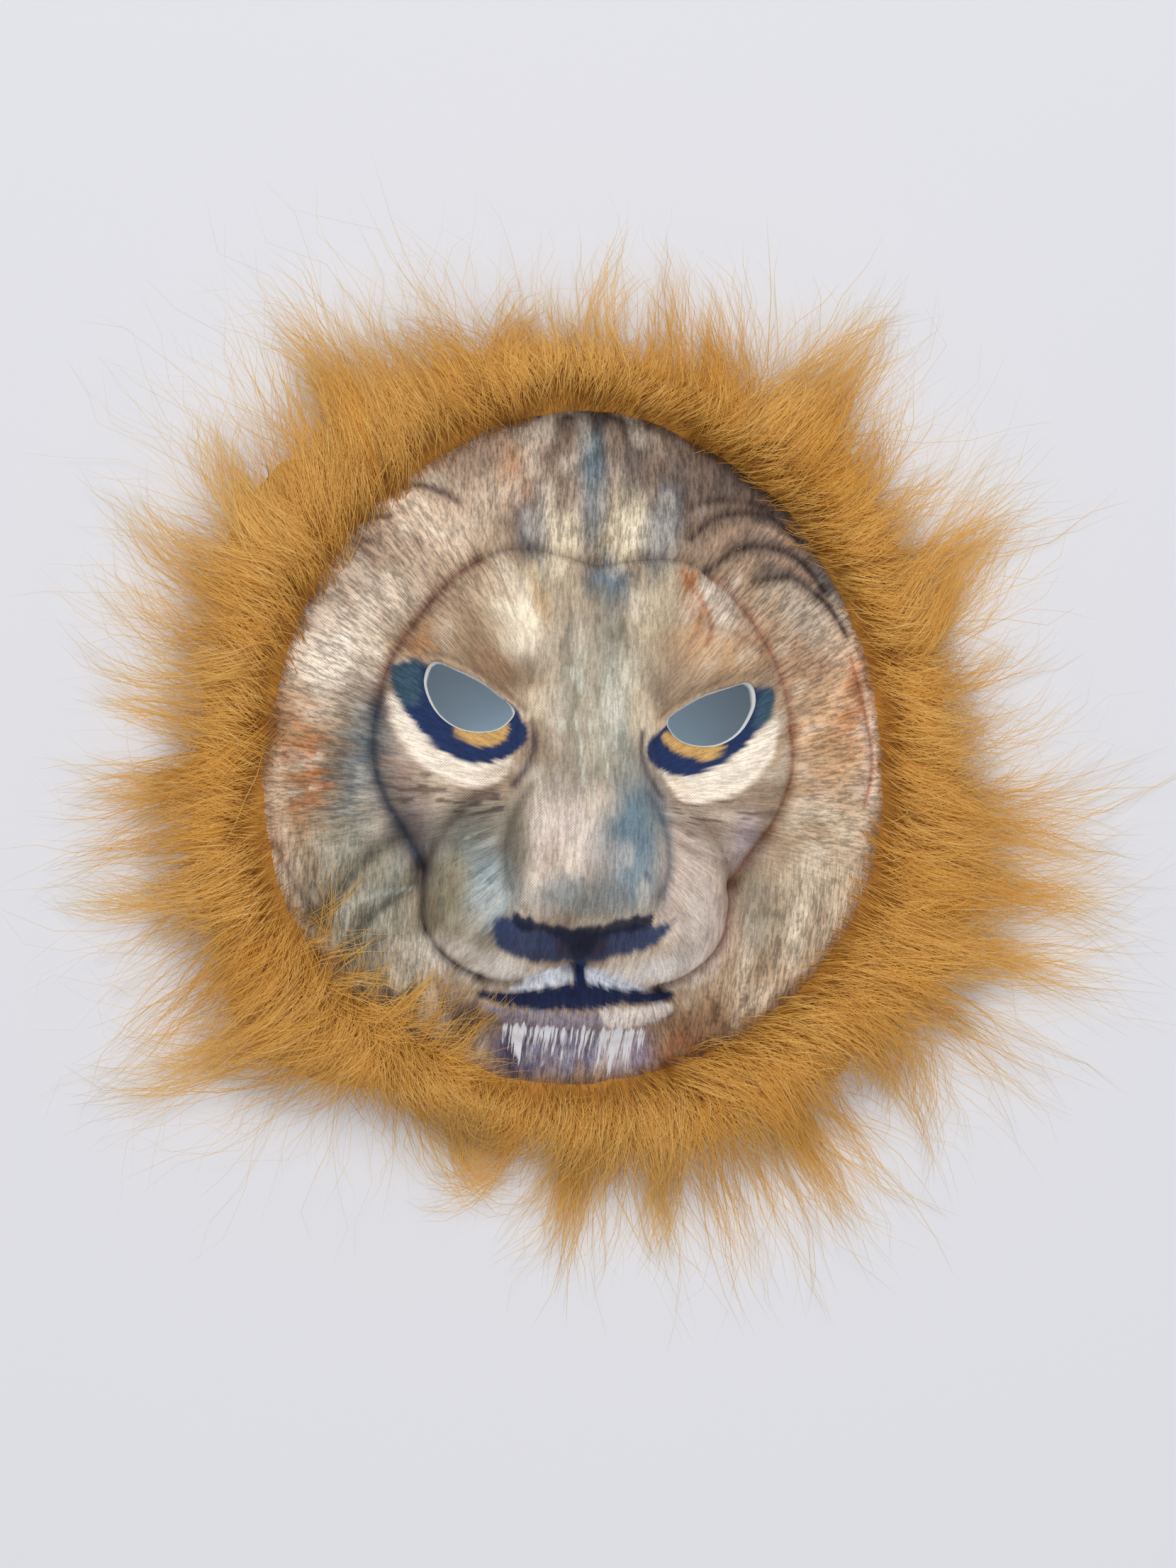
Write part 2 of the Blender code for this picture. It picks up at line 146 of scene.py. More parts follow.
# Pressed creases and folds, and lines that are only painted: name, sides, depth, half-width, strength of
# the painted line, its colour, and the points that the line runs through. On the left side x changes its
# sign. The dark lines along the creases and folds are partly print and partly painted shade in the
# grooves. The pale lines on the ridges beside the right wrinkles are painted highlights, and the broad
# line beside the left cheek of the plate is painted shade.
CREASES = (
    ("top of the plate", BOTH, 1.5, 1.9, 0.6, "#54463c", FACE_CREASE[:5]),
    ("left brow of the plate", LEFT, 1.8, 2.8, 0.9, "#643c2e", FACE_CREASE[4:11]),
    ("right brow of the plate", RIGHT, 1.8, 2.4, 0.8, "#84503a", FACE_CREASE[4:11]),
    ("left cheek of the plate", LEFT, 2.4, 2.8, 0.95, "#20222c", FACE_CREASE[10:17]),
    ("right cheek of the plate", RIGHT, 2.2, 2.4, 0.85, "#7f4a2c", FACE_CREASE[10:17]),
    # Broad painted shade beside the left cheek of the plate, with no groove.
    ("left shade of the plate", LEFT, 0.0, 9.0, 0.45, "#3f4c5a", FACE_CREASE[10:17]),
    ("left edge of the muzzle", LEFT, 2.6, 2.2, 0.9, "#2f2424", FACE_CREASE[16:22]),
    ("right edge of the muzzle", RIGHT, 2.4, 1.9, 0.8, "#6b4034", FACE_CREASE[16:22]),
    ("left underside of the muzzle", LEFT, 1.8, 2.0, 0.55, "#38333c", FACE_CREASE[21:26]),
    ("right underside of the muzzle", RIGHT, 1.8, 2.0, 0.4, "#6b5a58", FACE_CREASE[21:26]),
    ("left top of the muzzle", LEFT, 1.5, 2.4, 0.6, "#43352f", MUZZLE[5:11]),
    ("right top of the muzzle", RIGHT, 1.4, 2.2, 0.5, "#6f5448", MUZZLE[5:11]),
    ("left side of the nose", LEFT, 1.3, 2.4, 0.55, "#544d3f", NOSE[2:7]),
    ("right side of the nose", RIGHT, 1.3, 2.4, 0.6, "#34485c", NOSE[2:7]),
    # Dark lines in the inner corners of the eyes: partly print, partly painted shade.
    ("left inner corner", LEFT, 0.4, 2.0, 0.8, "#33263a", ((19.5, 6), (19, -2), (21, -9), (25, -15))),
    ("right inner corner", RIGHT, 0.4, 1.8, 0.8, "#3a2a38", ((17, 5), (16.5, -2), (19, -9), (24, -16))),
    ("left upper lid", LEFT, 0.5, 1.5, 0.5, "#5c4538",
     ((57, 27), (48, 26), (37, 21), (28, 15), (22, 10))),
    ("right upper lid", RIGHT, 0.5, 1.5, 0.5, "#6b503c",
     ((57, 27), (48, 26), (37, 21), (28, 15), (22, 10))),
    ("mouth", RIGHT, 1.8, 2.0, 0.0, NAVY,
     ((-37, -84), (-26, -86), (-12, -85), (0, -83), (12, -85), (26, -86), (37, -84))),
    ("under the lips", RIGHT, 1.0, 1.8, 0.5, "#3d3444",
     ((-30, -95), (-14, -97.5), (2, -98), (16, -98), (36, -90))),
    ("right wrinkle, first", RIGHT, 1.6, 1.8, 0.85, "#35211f",
     ((32, 84), (35, 86), (42, 88), (52, 89), (63, 87))),
    ("right wrinkle, second", RIGHT, 2.2, 1.9, 0.95, "#281718",
     ((32, 73), (39, 80), (48, 84), (58, 85), (65, 83), (73, 77))),
    ("right wrinkle, third", RIGHT, 2.8, 2.0, 1.0, "#241416",
     ((38, 62), (44, 67), (49, 71), (58, 73), (68, 72), (75, 68), (83, 60))),
    ("right wrinkle, fourth", RIGHT, 2.6, 2.0, 0.95, "#281819",
     ((55, 60), (61, 62), (70, 63), (78, 59), (85, 54), (92, 45))),
    # Pale lines on the ridges beside the right wrinkles: painted highlights, with no groove.
    ("ridge over the third wrinkle", RIGHT, 0.0, 2.4, 0.6, "#b9967c",
     ((38, 69), (43, 74.5), (51, 78.5), (60, 79), (69, 75))),
    ("ridge over the fourth wrinkle", RIGHT, 0.0, 2.4, 0.6, "#b9967c",
     ((50, 64), (58, 68), (66, 68), (76, 63.5))),
    ("ridge under the wrinkles", RIGHT, 0.0, 2.6, 0.55, "#cbb59e",
     ((58, 55), (67, 57.5), (77, 53.5), (85, 47))),
    ("left wrinkle, first", LEFT, 2.0, 1.9, 0.8, "#46302a",
     ((84, 76), (77, 84), (68, 86), (58, 86), (47, 80))),
    ("left wrinkle, second", LEFT, 1.9, 1.8, 0.8, "#3c2824", ((92, 68), (88, 71), (80, 74), (70, 75))),
    ("left wrinkle, third", LEFT, 1.7, 1.8, 0.7, "#46302a", ((97, 57), (92, 62), (87, 65), (76, 66))),
    ("left cheek fold, upper", LEFT, 3.8, 3.4, 0.75, "#3e3e36",
     ((88, -66), (85, -62), (81, -55), (75, -47), (68, -40), (61, -35))),
    ("left cheek fold, lower", LEFT, 3.6, 3.2, 0.75, "#3b3a32",
     ((78, -80), (75, -75), (71, -65), (63, -57), (54, -50))),
    ("left edge under the cheek", LEFT, 1.0, 2.6, 0.5, "#43352a",
     ((104, -40), (97, -51), (91, -59), (84, -68))),
    ("right cheek fold", RIGHT, 1.8, 3.0, 0.5, "#6b5540",
     ((53, -46), (58, -38), (62, -30), (67, -22), (71, -12))),
    ("right cheek fold, lower", RIGHT, 1.3, 3.2, 0.25, "#6b5a48",
     ((64, -84), (70, -70), (74, -58), (79, -44))),
    ("pale whisker", LEFT, 0.0, 1.0, 0.75, "#bcc0b6", ((84, -65), (78, -60), (70, -55.5), (56, -51.5))),
    ("low pale whisker", LEFT, 0.0, 1.0, 0.65, "#bcc0b6", ((57, -87), (53, -79), (49, -73))),
    ("rust line on the right", RIGHT, 0.8, 1.4, 0.75, "#a0492a",
     ((93, 37), (97, 26), (100, 16), (103, 5), (103, -6), (101, -14))),
    ("line down the right brow", RIGHT, 0.5, 1.5, 0.7, "#a4623a",
     ((29, 60), (35, 51), (38.5, 42), (37, 35))),
    ("fold of the right brow", RIGHT, 0.6, 1.8, 0.5, "#74503e",
     ((38, 42), (48, 40), (57, 35), (62, 29))),
    ("lower lid", BOTH, 0.9, 1.8, 0.0, NAVY, ((66, 6), (58, -4), (47, -12), (36, -14), (26, -10))),
)

# The mane's thick mass: bearing from the face's middle, and how far it spreads past the rim.
MANE_SPREAD = (
    (180, 29), (165, 35), (155, 44), (140, 46), (124, 45), (107, 36), (96, 29), (84, 28), (70, 34),
    (55, 44), (44, 38), (31, 34), (17, 33), (3, 38), (-9, 45), (-22, 57), (-36, 50), (-53, 40),
    (-63, 44), (-75, 41), (-90, 28), (-105, 21), (-117, 28), (-130, 45), (-142, 43), (-160, 37),
)
MANE_HEIGHT = 30.0

# Section of the mane's mass: how far past the rim as a share of the spread, and height as a share of the
# full height. The inner lip leans in over the shell, by this many millimetres.
MANE_LEAN = 7.6
MANE_SECTION = ((0.0, 1.0), (0.18, 0.97), (0.42, 0.78), (0.7, 0.44), (0.92, 0.17), (1.0, 0.0))

# Locks of the mane: bearing of the root, heading at the root, turn on the way to the tip, length, width.
LOCKS = (
    (180, -175, -28, 61, 24), (170, -147, -76, 73, 26), (162, -151, -85, 79, 26), (155, 155, 7, 65, 28),
    (149, 160, -66, 69, 26), (140, 125, -32, 78, 28), (133, 98, 40, 84, 28), (131, 104, 20, 64, 34),
    (122, 115, 12, 66, 34), (112, 107, 44, 50, 30), (103, 113, 24, 40, 28), (96, 98, -4, 46, 28),
    (89, 115, -57, 62, 24), (80, 76, 31, 71, 26), (70, 53, 70, 78, 26), (64, 45, 19, 83, 30),
    (57, 47, 15, 84, 34), (49, 23, 66, 71, 26), (42, 25, 29, 72, 26), (33, 18, 27, 99, 30),
    (25, -10, 87, 86, 28), (16, -15, 70, 74, 26), (7, -24, 76, 70, 26), (-2, -22, 61, 110, 26),
    (-11, -23, 54, 88, 30), (-20, -14, 28, 103, 32), (-29, -6, -6, 110, 32), (-37, -12, -26, 106, 30),
    (-45, -13, -72, 92, 28), (-53, -52, 17, 91, 28), (-58, -52, -5, 102, 28), (-64, -57, -1, 104, 30),
    (-70, -69, 5, 91, 30), (-76, -86, 21, 73, 30), (-82, -88, -12, 72, 28), (-88, -75, -74, 66, 24),
    (-98, -60, -140, 62, 18), (-113, -95, 76, 55, 18), (-123, -124, -15, 38, 24),
    (-129, -135, -50, 92, 34), (-144, -151, 26, 85, 30), (-153, -164, 30, 66, 28),
    (-163, -173, 16, 75, 28), (-171, -176, 4, 68, 26),
)

# Long thick locks that stand out of the others, with the same columns.
LONG_LOCKS = (
    (134, 89, 63, 85, 26), (138, 95, -7, 60, 22), (105, 115, -66, 50, 20), (73, 69, 40, 50, 20),
    (63, 59, -25, 85, 30), (58, 46, 20, 75, 24), (23, 70, -47, 94, 28), (18, 47, 19, 79, 22),
    (-5, -19, 15, 96, 26), (-15, -14, 5, 104, 30), (-29, -17, 22, 112, 32), (-47, 29, -144, 86, 26),
    (-59, -45, -15, 85, 26), (-75, -69, -26, 74, 24), (-85, -91, -11, 69, 24),
    (-103, -147, 160, 58, 18), (-136, -120, -57, 89, 32), (-158, -133, -65, 80, 26),
    (-178, -135, -32, 78, 24), (158, 178, -51, 80, 26), (150, 155, -56, 72, 26),
)

# How the fur lies along the rim at its roots: bearing, and lean from straight outwards towards rising
# bearings.
RIM_LEAN = (
    (0, -45), (20, -65), (40, -75), (60, -75), (80, -80), (92, -20), (105, 50), (118, 10), (130, -35),
    (145, -65), (160, -60), (185, -50), (200, 0), (212, 50), (225, 60), (240, 65), (255, 30), (270, 0),
    (283, 20), (292, 75), (310, 80), (322, 45), (333, 0), (345, -25), (360, -45),
)

# Grids of the face: spokes round the hub on the nose bridge, and rings inside and outside the crease. The
# foam's grid follows the same creases as the cloth's, so that the foam stays under the cloth.
HUB = (0.0, -17.0)
COVER_GRID = (384, 76, 46)
FOAM_GRID = (240, 36, 30)


def linear(hexed):
    """The linear colour of an sRGB hex value."""
    value = np.array([int(hexed[i : i + 2], 16) for i in (1, 3, 5)]) / 255
    return np.where(value <= 0.04045, value / 12.92, ((value + 0.055) / 1.055) ** 2.4)


def smooth(low, high, value):
    """0 below low and 1 above high, on the curve 3t^2 - 2t^3 between them."""
    t = np.clip((value - low) / (high - low), 0, 1)
    return t * t * (3 - 2 * t)


def lattice_noise(u, v, seed, size=256):
    """Smooth noise from 0 to 1: random values on the whole numbers of a square lattice that repeats,
    and between them a blend on 3t^2 - 2t^3 both ways."""
    table = np.random.default_rng(seed).random((size, size))
    i, j = np.floor(u).astype(int), np.floor(v).astype(int)
    s, t = smooth(0, 1, u - i), smooth(0, 1, v - j)
    a, b = i % size, (i + 1) % size
    c, d = j % size, (j + 1) % size
    low = table[a, c] * (1 - s) + table[b, c] * s
    high = table[a, d] * (1 - s) + table[b, d] * s
    return low * (1 - t) + high * t


def periodic(bearings, values, wanted):
    """Cubic through the values, which repeat every 360 degrees, read at the wanted bearings."""
    order = np.argsort(np.mod(bearings, 360.0))
    x = np.mod(bearings, 360.0)[order]
    y = np.asarray(values, float)[order]
    x = np.concatenate([x[-2:] - 360.0, x, x[:2] + 360.0])
    y = np.concatenate([y[-2:], y, y[:2]])
    slope = np.gradient(y, x)
    at = np.mod(wanted, 360.0)
    i = np.clip(np.searchsorted(x, at, side="right") - 1, 0, len(x) - 2)
    h = x[i + 1] - x[i]
    t = (at - x[i]) / h
    start, end = y[i], y[i + 1]
    lead, trail = slope[i] * h, slope[i + 1] * h
    return (
        start * (2 * t**3 - 3 * t**2 + 1) + lead * (t**3 - 2 * t**2 + t)
        + end * (3 * t**2 - 2 * t**3) + trail * (t**3 - t**2)
    )


def both_halves(half):
    """A right half from top to bottom, closed round by its mirror image."""
    right = np.array(half, float)
    left = right[-2:0:-1] * (-1, 1)
    return np.concatenate([right, left])


def catmull_rom(before, start, end, after, per_side):
    """Catmull-Rom curve from each start towards its end, in even steps and without the end itself."""
    t = (np.arange(per_side) / per_side)[None, :, None]
    a, b, c, d = (q[:, None, :] for q in (before, start, end, after))
    curve = 0.5 * (
        2 * b + (c - a) * t + (2 * a - 5 * b + 4 * c - d) * t**2 + (3 * b - a - 3 * c + d) * t**3
    )
    return curve.reshape(-1, 2)


def smooth_loop(points, per_side=6):
    """Closed Catmull-Rom curve through the points."""
    p = np.asarray(points, float)
    return catmull_rom(np.roll(p, 1, 0), p, np.roll(p, -1, 0), np.roll(p, -2, 0), per_side)


def smooth_line(points, per_side):
    """Open Catmull-Rom curve through the points, with its ends carried straight on."""
    p = np.asarray(points, float)
    p = np.concatenate([[2 * p[0] - p[1]], p, [2 * p[-1] - p[-2]]])
    return np.concatenate([catmull_rom(p[:-3], p[1:-2], p[2:-1], p[3:], per_side), p[-2:-1]])


def nearest_on(x, y, start, end):
    """Distance from each point to a chain of segments, and the nearest place on the chain."""
    shape = np.shape(x)
    p = np.stack([np.ravel(x), np.ravel(y)], -1)
    best = np.full(len(p), np.inf)
    place = np.zeros_like(p)
    for a, b in zip(start, end):
        edge = b - a
        share = np.clip((p - a) @ edge / max(edge @ edge, 1e-9), 0, 1)
        spot = a + share[:, None] * edge
        gap = ((p - spot) ** 2).sum(-1)
        nearer = gap < best
        best[nearer] = gap[nearer]
        place[nearer] = spot[nearer]
    return np.sqrt(best).reshape(shape), place.reshape(shape + (2,))


def inside_depth(x, y, loop):
    """Distance from the loop to each point, positive inside it."""
    a, b = loop, np.roll(loop, -1, 0)
    distance, _ = nearest_on(x, y, a, b)
    inside = np.zeros(np.shape(x), bool)
    for (ax, ay), (bx, by) in zip(a, b):
        if ay != by:
            inside ^= ((ay > y) != (by > y)) & (x < ax + (y - ay) * (bx - ax) / (by - ay))
    return np.where(inside, distance, -distance)


def line_distance(x, y, points):
    """Distance from a smooth line through the points, worked out within 20 mm of its box and 99 beyond."""
    line = smooth_line(points, per_side=4)
    low, high = line.min(0) - 20, line.max(0) + 20
    near = (x > low[0]) & (x < high[0]) & (y > low[1]) & (y < high[1])
    distance = np.full(np.shape(x), 99.0)
    distance[near], _ = nearest_on(x[near], y[near], line[:-1], line[1:])
    return distance


def rounded_edge(depth, width):
    """0 at the outline and 1 from one width inside it: a quarter of a sine, raised to 0.8."""
    return np.sin(0.5 * math.pi * np.clip(depth / width, 0, 1)) ** 0.8


def rim_radius(bearing):
    """The rim's radius: a cubic through the table and its mirror image."""
    whole = [(b, r) for b, r in RIM] + [(180 - b, r) for b, r in RIM[1:-1]]
    bearings, radii = np.array(whole, float).T
    return periodic(bearings, radii, bearing)


def swell(x, y, middle_x, middle_y, across, along):
    """A round bump from 1 in the middle: exp(-(distance in half-widths)^2)."""
    return np.exp(-(((x - middle_x) / across) ** 2) - ((y - middle_y) / along) ** 2)


def face_height(x, y):
    """Height of the face over the table: a dome, with the pressed forms and soft swellings on it."""
    bearing = np.degrees(np.arctan2(y, x))
    share = np.clip(np.hypot(x, y) / rim_radius(bearing), 0, 1)
    z = SKIRT_HEIGHT + (DOME_HEIGHT - SKIRT_HEIGHT) * (1 - share**DOME_FULLNESS) ** DOME_SHOULDER
    for _, outline, height, edge, rise in RAISED:
        loop = smooth_loop(both_halves(outline))
        along = np.clip((loop[:, 1].max() - y) / rise, 0, 1)
        z = z + height * along**2 * (3 - 2 * along) * rounded_edge(inside_depth(x, y, loop), edge)
    for side_x, side_y, across, along, height in PAIRED_SWELLS:
        z = z + height * swell(x, y, side_x, side_y, across, along)
        z = z + height * swell(x, y, -side_x, side_y, across, along)
    for middle_x, middle_y, across, along, height in MIDDLE_SWELLS:
        z = z + height * swell(x, y, middle_x, middle_y, across, along)
    return z


# Height of the cloth's roll beside a crease, as a share of its depth, and its distance in half-widths.
ROLL, ROLL_PLACE = 0.28, 2.6


def each_crease():
    """The rows of creases with their points on the side where they lie."""
    for name, sides, *rest, points in CREASES:
        for side in sides:
            yield name, side, *rest, np.array(points) * (side, 1)


def groove_relief(x, y):
    """How far the creases sink the face: each is depth times exp(-(distance / half-width)^2). A roll of
    cloth stands up beside it, ROLL times as high and ROLL_PLACE half-widths away."""
    sunk = np.zeros_like(x)
    for _, _, depth, half, _, _, points in each_crease():
        away = line_distance(x, y, points) / half
        sunk += depth * (np.exp(-(away**2)) - ROLL * np.exp(-((away - ROLL_PLACE) ** 2)))
    return sunk


def spoke_reach(loop, bearings):
    """How far from the hub each spoke meets the loop."""
    away = loop - HUB
    return periodic(np.degrees(np.arctan2(away[:, 1], away[:, 0])), np.hypot(*away.T), bearings)


def face_grid(spokes, inner_rings, outer_rings):
    """Places on the face, seen from above, in rings from the hub to the crease, and on to the rim on
    1 - (1 - t)^1.35, so that the outermost rings lie closest together."""
    bearings = 90.0 + np.arange(spokes) * 360.0 / spokes
    crease = spoke_reach(smooth_loop(both_halves(FACE_CREASE)), bearings)
    around = np.arange(0, 360, 2.0)
    direction = np.stack([np.cos(np.radians(around)), np.sin(np.radians(around))], -1)
    rim = spoke_reach(rim_radius(around)[:, None] * direction, bearings)
    inner = np.arange(1, inner_rings + 1)[:, None] / inner_rings
    outer = 1 - (1 - np.arange(1, outer_rings + 1)[:, None] / outer_rings) ** 1.35
    reach = np.concatenate([crease * inner, crease + (rim - crease) * outer])
    x = HUB[0] + reach * np.cos(np.radians(bearings))
    y = HUB[1] + reach * np.sin(np.radians(bearings))
    return x, y


def ring_quads(rings, around, first=0):
    """Corner numbers of the quads between each ring of points and the next one out, which face up."""
    k = np.arange(around)
    n = (k + 1) % around
    inner = first + np.arange(rings - 1)[:, None] * around
    quads = [inner + k, inner + around + k, inner + around + n, inner + n]
    return np.stack(quads, -1).reshape(-1, 4)


def add_mesh(name, points, faces, finish, nodes):
    """A mesh object from points in millimetres round the face's middle, standing for the given solids."""
    mesh = bpy.data.meshes.new(name)
    mesh.from_pydata(((points + FACE_AT) * MM).tolist(), [], [list(map(int, face)) for face in faces])
    mesh.shade_smooth()
    mesh.materials.append(finish)
    obj = bpy.data.objects.new(name, mesh)
    bpy.context.scene.collection.objects.link(obj)
    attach(obj, "root")
    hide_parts(*nodes)
    return obj


def set_colour(obj, name, colours):
    """A linear colour for each vertex, as a named attribute."""
    layer = obj.data.color_attributes.new(name, "FLOAT_COLOR", "POINT")
    layer.data.foreach_set("color", np.column_stack([colours, np.ones(len(colours))]).ravel())


def set_vector(obj, name, vectors):
    layer = obj.data.attributes.new(name, "FLOAT_VECTOR", "POINT")
    layer.data.foreach_set("vector", np.asarray(vectors, float).ravel())


def set_number(obj, name, values):
    layer = obj.data.attributes.new(name, "FLOAT", "POINT")
    layer.data.foreach_set("value", np.asarray(values, float))


def layer_points(grid, inset, thickness, hem, eye_margin):
    """The face's own points, and the outer and inner skins and the quads of one layer of it.

    The outer skin is the face's height over the grid, moved inwards along its own normals by the inset.
    The inner skin lies one thickness further in. Quads inside the eye holes are left out, and the points
    on the edge of a hole are moved onto its outline, made smaller by the margin."""
    x, y = face_grid(*grid)
    rings, spokes = x.shape
    x = np.concatenate([[HUB[0]], x.ravel(), x[-1]])
    y = np.concatenate([[HUB[1]], y.ravel(), y[-1]])
    k = np.arange(spokes)
    fan = np.stack([np.zeros(spokes, int), 1 + k, 1 + (k + 1) % spokes, 1 + (k + 1) % spokes], -1)
    quads = np.concatenate([fan, ring_quads(rings + 1, spokes, 1)])
    for side in (1, -1):
        loop = smooth_loop(EYE, per_side=8) * (side, 1)
        middle = loop.mean(0)
        away = loop - middle
        loop = middle + away * (1 - eye_margin / np.hypot(*away.T))[:, None]
        near = np.hypot(x - middle[0], y - middle[1]) < 30
        depth = np.full(len(x), -99.0)
        depth[near] = inside_depth(x[near], y[near], loop)
        gone = depth[quads].mean(-1) > 0
        edge = np.intersect1d(quads[gone], quads[~gone])
        _, place = nearest_on(x[edge], y[edge], loop, np.roll(loop, -1, 0))
        x[edge], y[edge] = place.T
        quads = quads[~gone]
    z = face_height(x, y) - groove_relief(x, y)
    z[-2 * spokes : -spokes] = SKIRT_HEIGHT
    skin = np.column_stack([x, y, z])
    skin[-spokes:, 2] = hem
    normal = vertex_normals(skin, quads)
    outer = skin - normal * inset
    outer[-spokes:, 2] = hem
    outer[-2 * spokes : -spokes, :2] = outer[-spokes:, :2]
    inner = outer - vertex_normals(outer, quads) * thickness
    inner[-spokes:, 2] = hem
    return skin, outer, inner, quads


def vertex_normals(points, quads):
    """Unit normals: for each point, the sum of the normals of its quads, each as long as its area."""
    a, b, c, d = (points[quads[:, i]] for i in range(4))
    square = np.cross(c - a, d - b)
    total = np.zeros_like(points)
    for corner in range(4):
        np.add.at(total, quads[:, corner], square)
    length = np.linalg.norm(total, axis=1)
    total[length < 1e-9] = (0, 0, 1)
    return total / np.maximum(length, 1e-9)[:, None]


def boundary_quads(quads, count):
    """Quads that join each open edge of the outer skin to the inner skin, whose numbers are higher by
    count."""
    edges = np.concatenate([quads[:, [i, (i + 1) % 4]] for i in range(4)])
    edges = edges[edges[:, 0] != edges[:, 1]]
    key = np.sort(edges, 1)
    _, first, times = np.unique(key, axis=0, return_index=True, return_counts=True)
    a, b = edges[first[times == 1]].T
    return np.stack([b, a, a + count, b + count], -1)


def closed_layer(name, points_out, points_in, quads, finish, nodes):
    """One face layer as a closed wall, and the numbers of the points that it uses. A quad with a doubled
    corner becomes a triangle."""
    count = len(points_out)
    walls = np.concatenate([quads, quads[:, ::-1] + count, boundary_quads(quads, count)])
    used = np.unique(walls)
    renumber = np.full(2 * count, -1)
    renumber[used] = np.arange(len(used))
    faces = [list(dict.fromkeys(face)) for face in renumber[walls].tolist()]
    points = np.concatenate([points_out, points_in])[used]
    return add_mesh(name, points, faces, finish, nodes), used
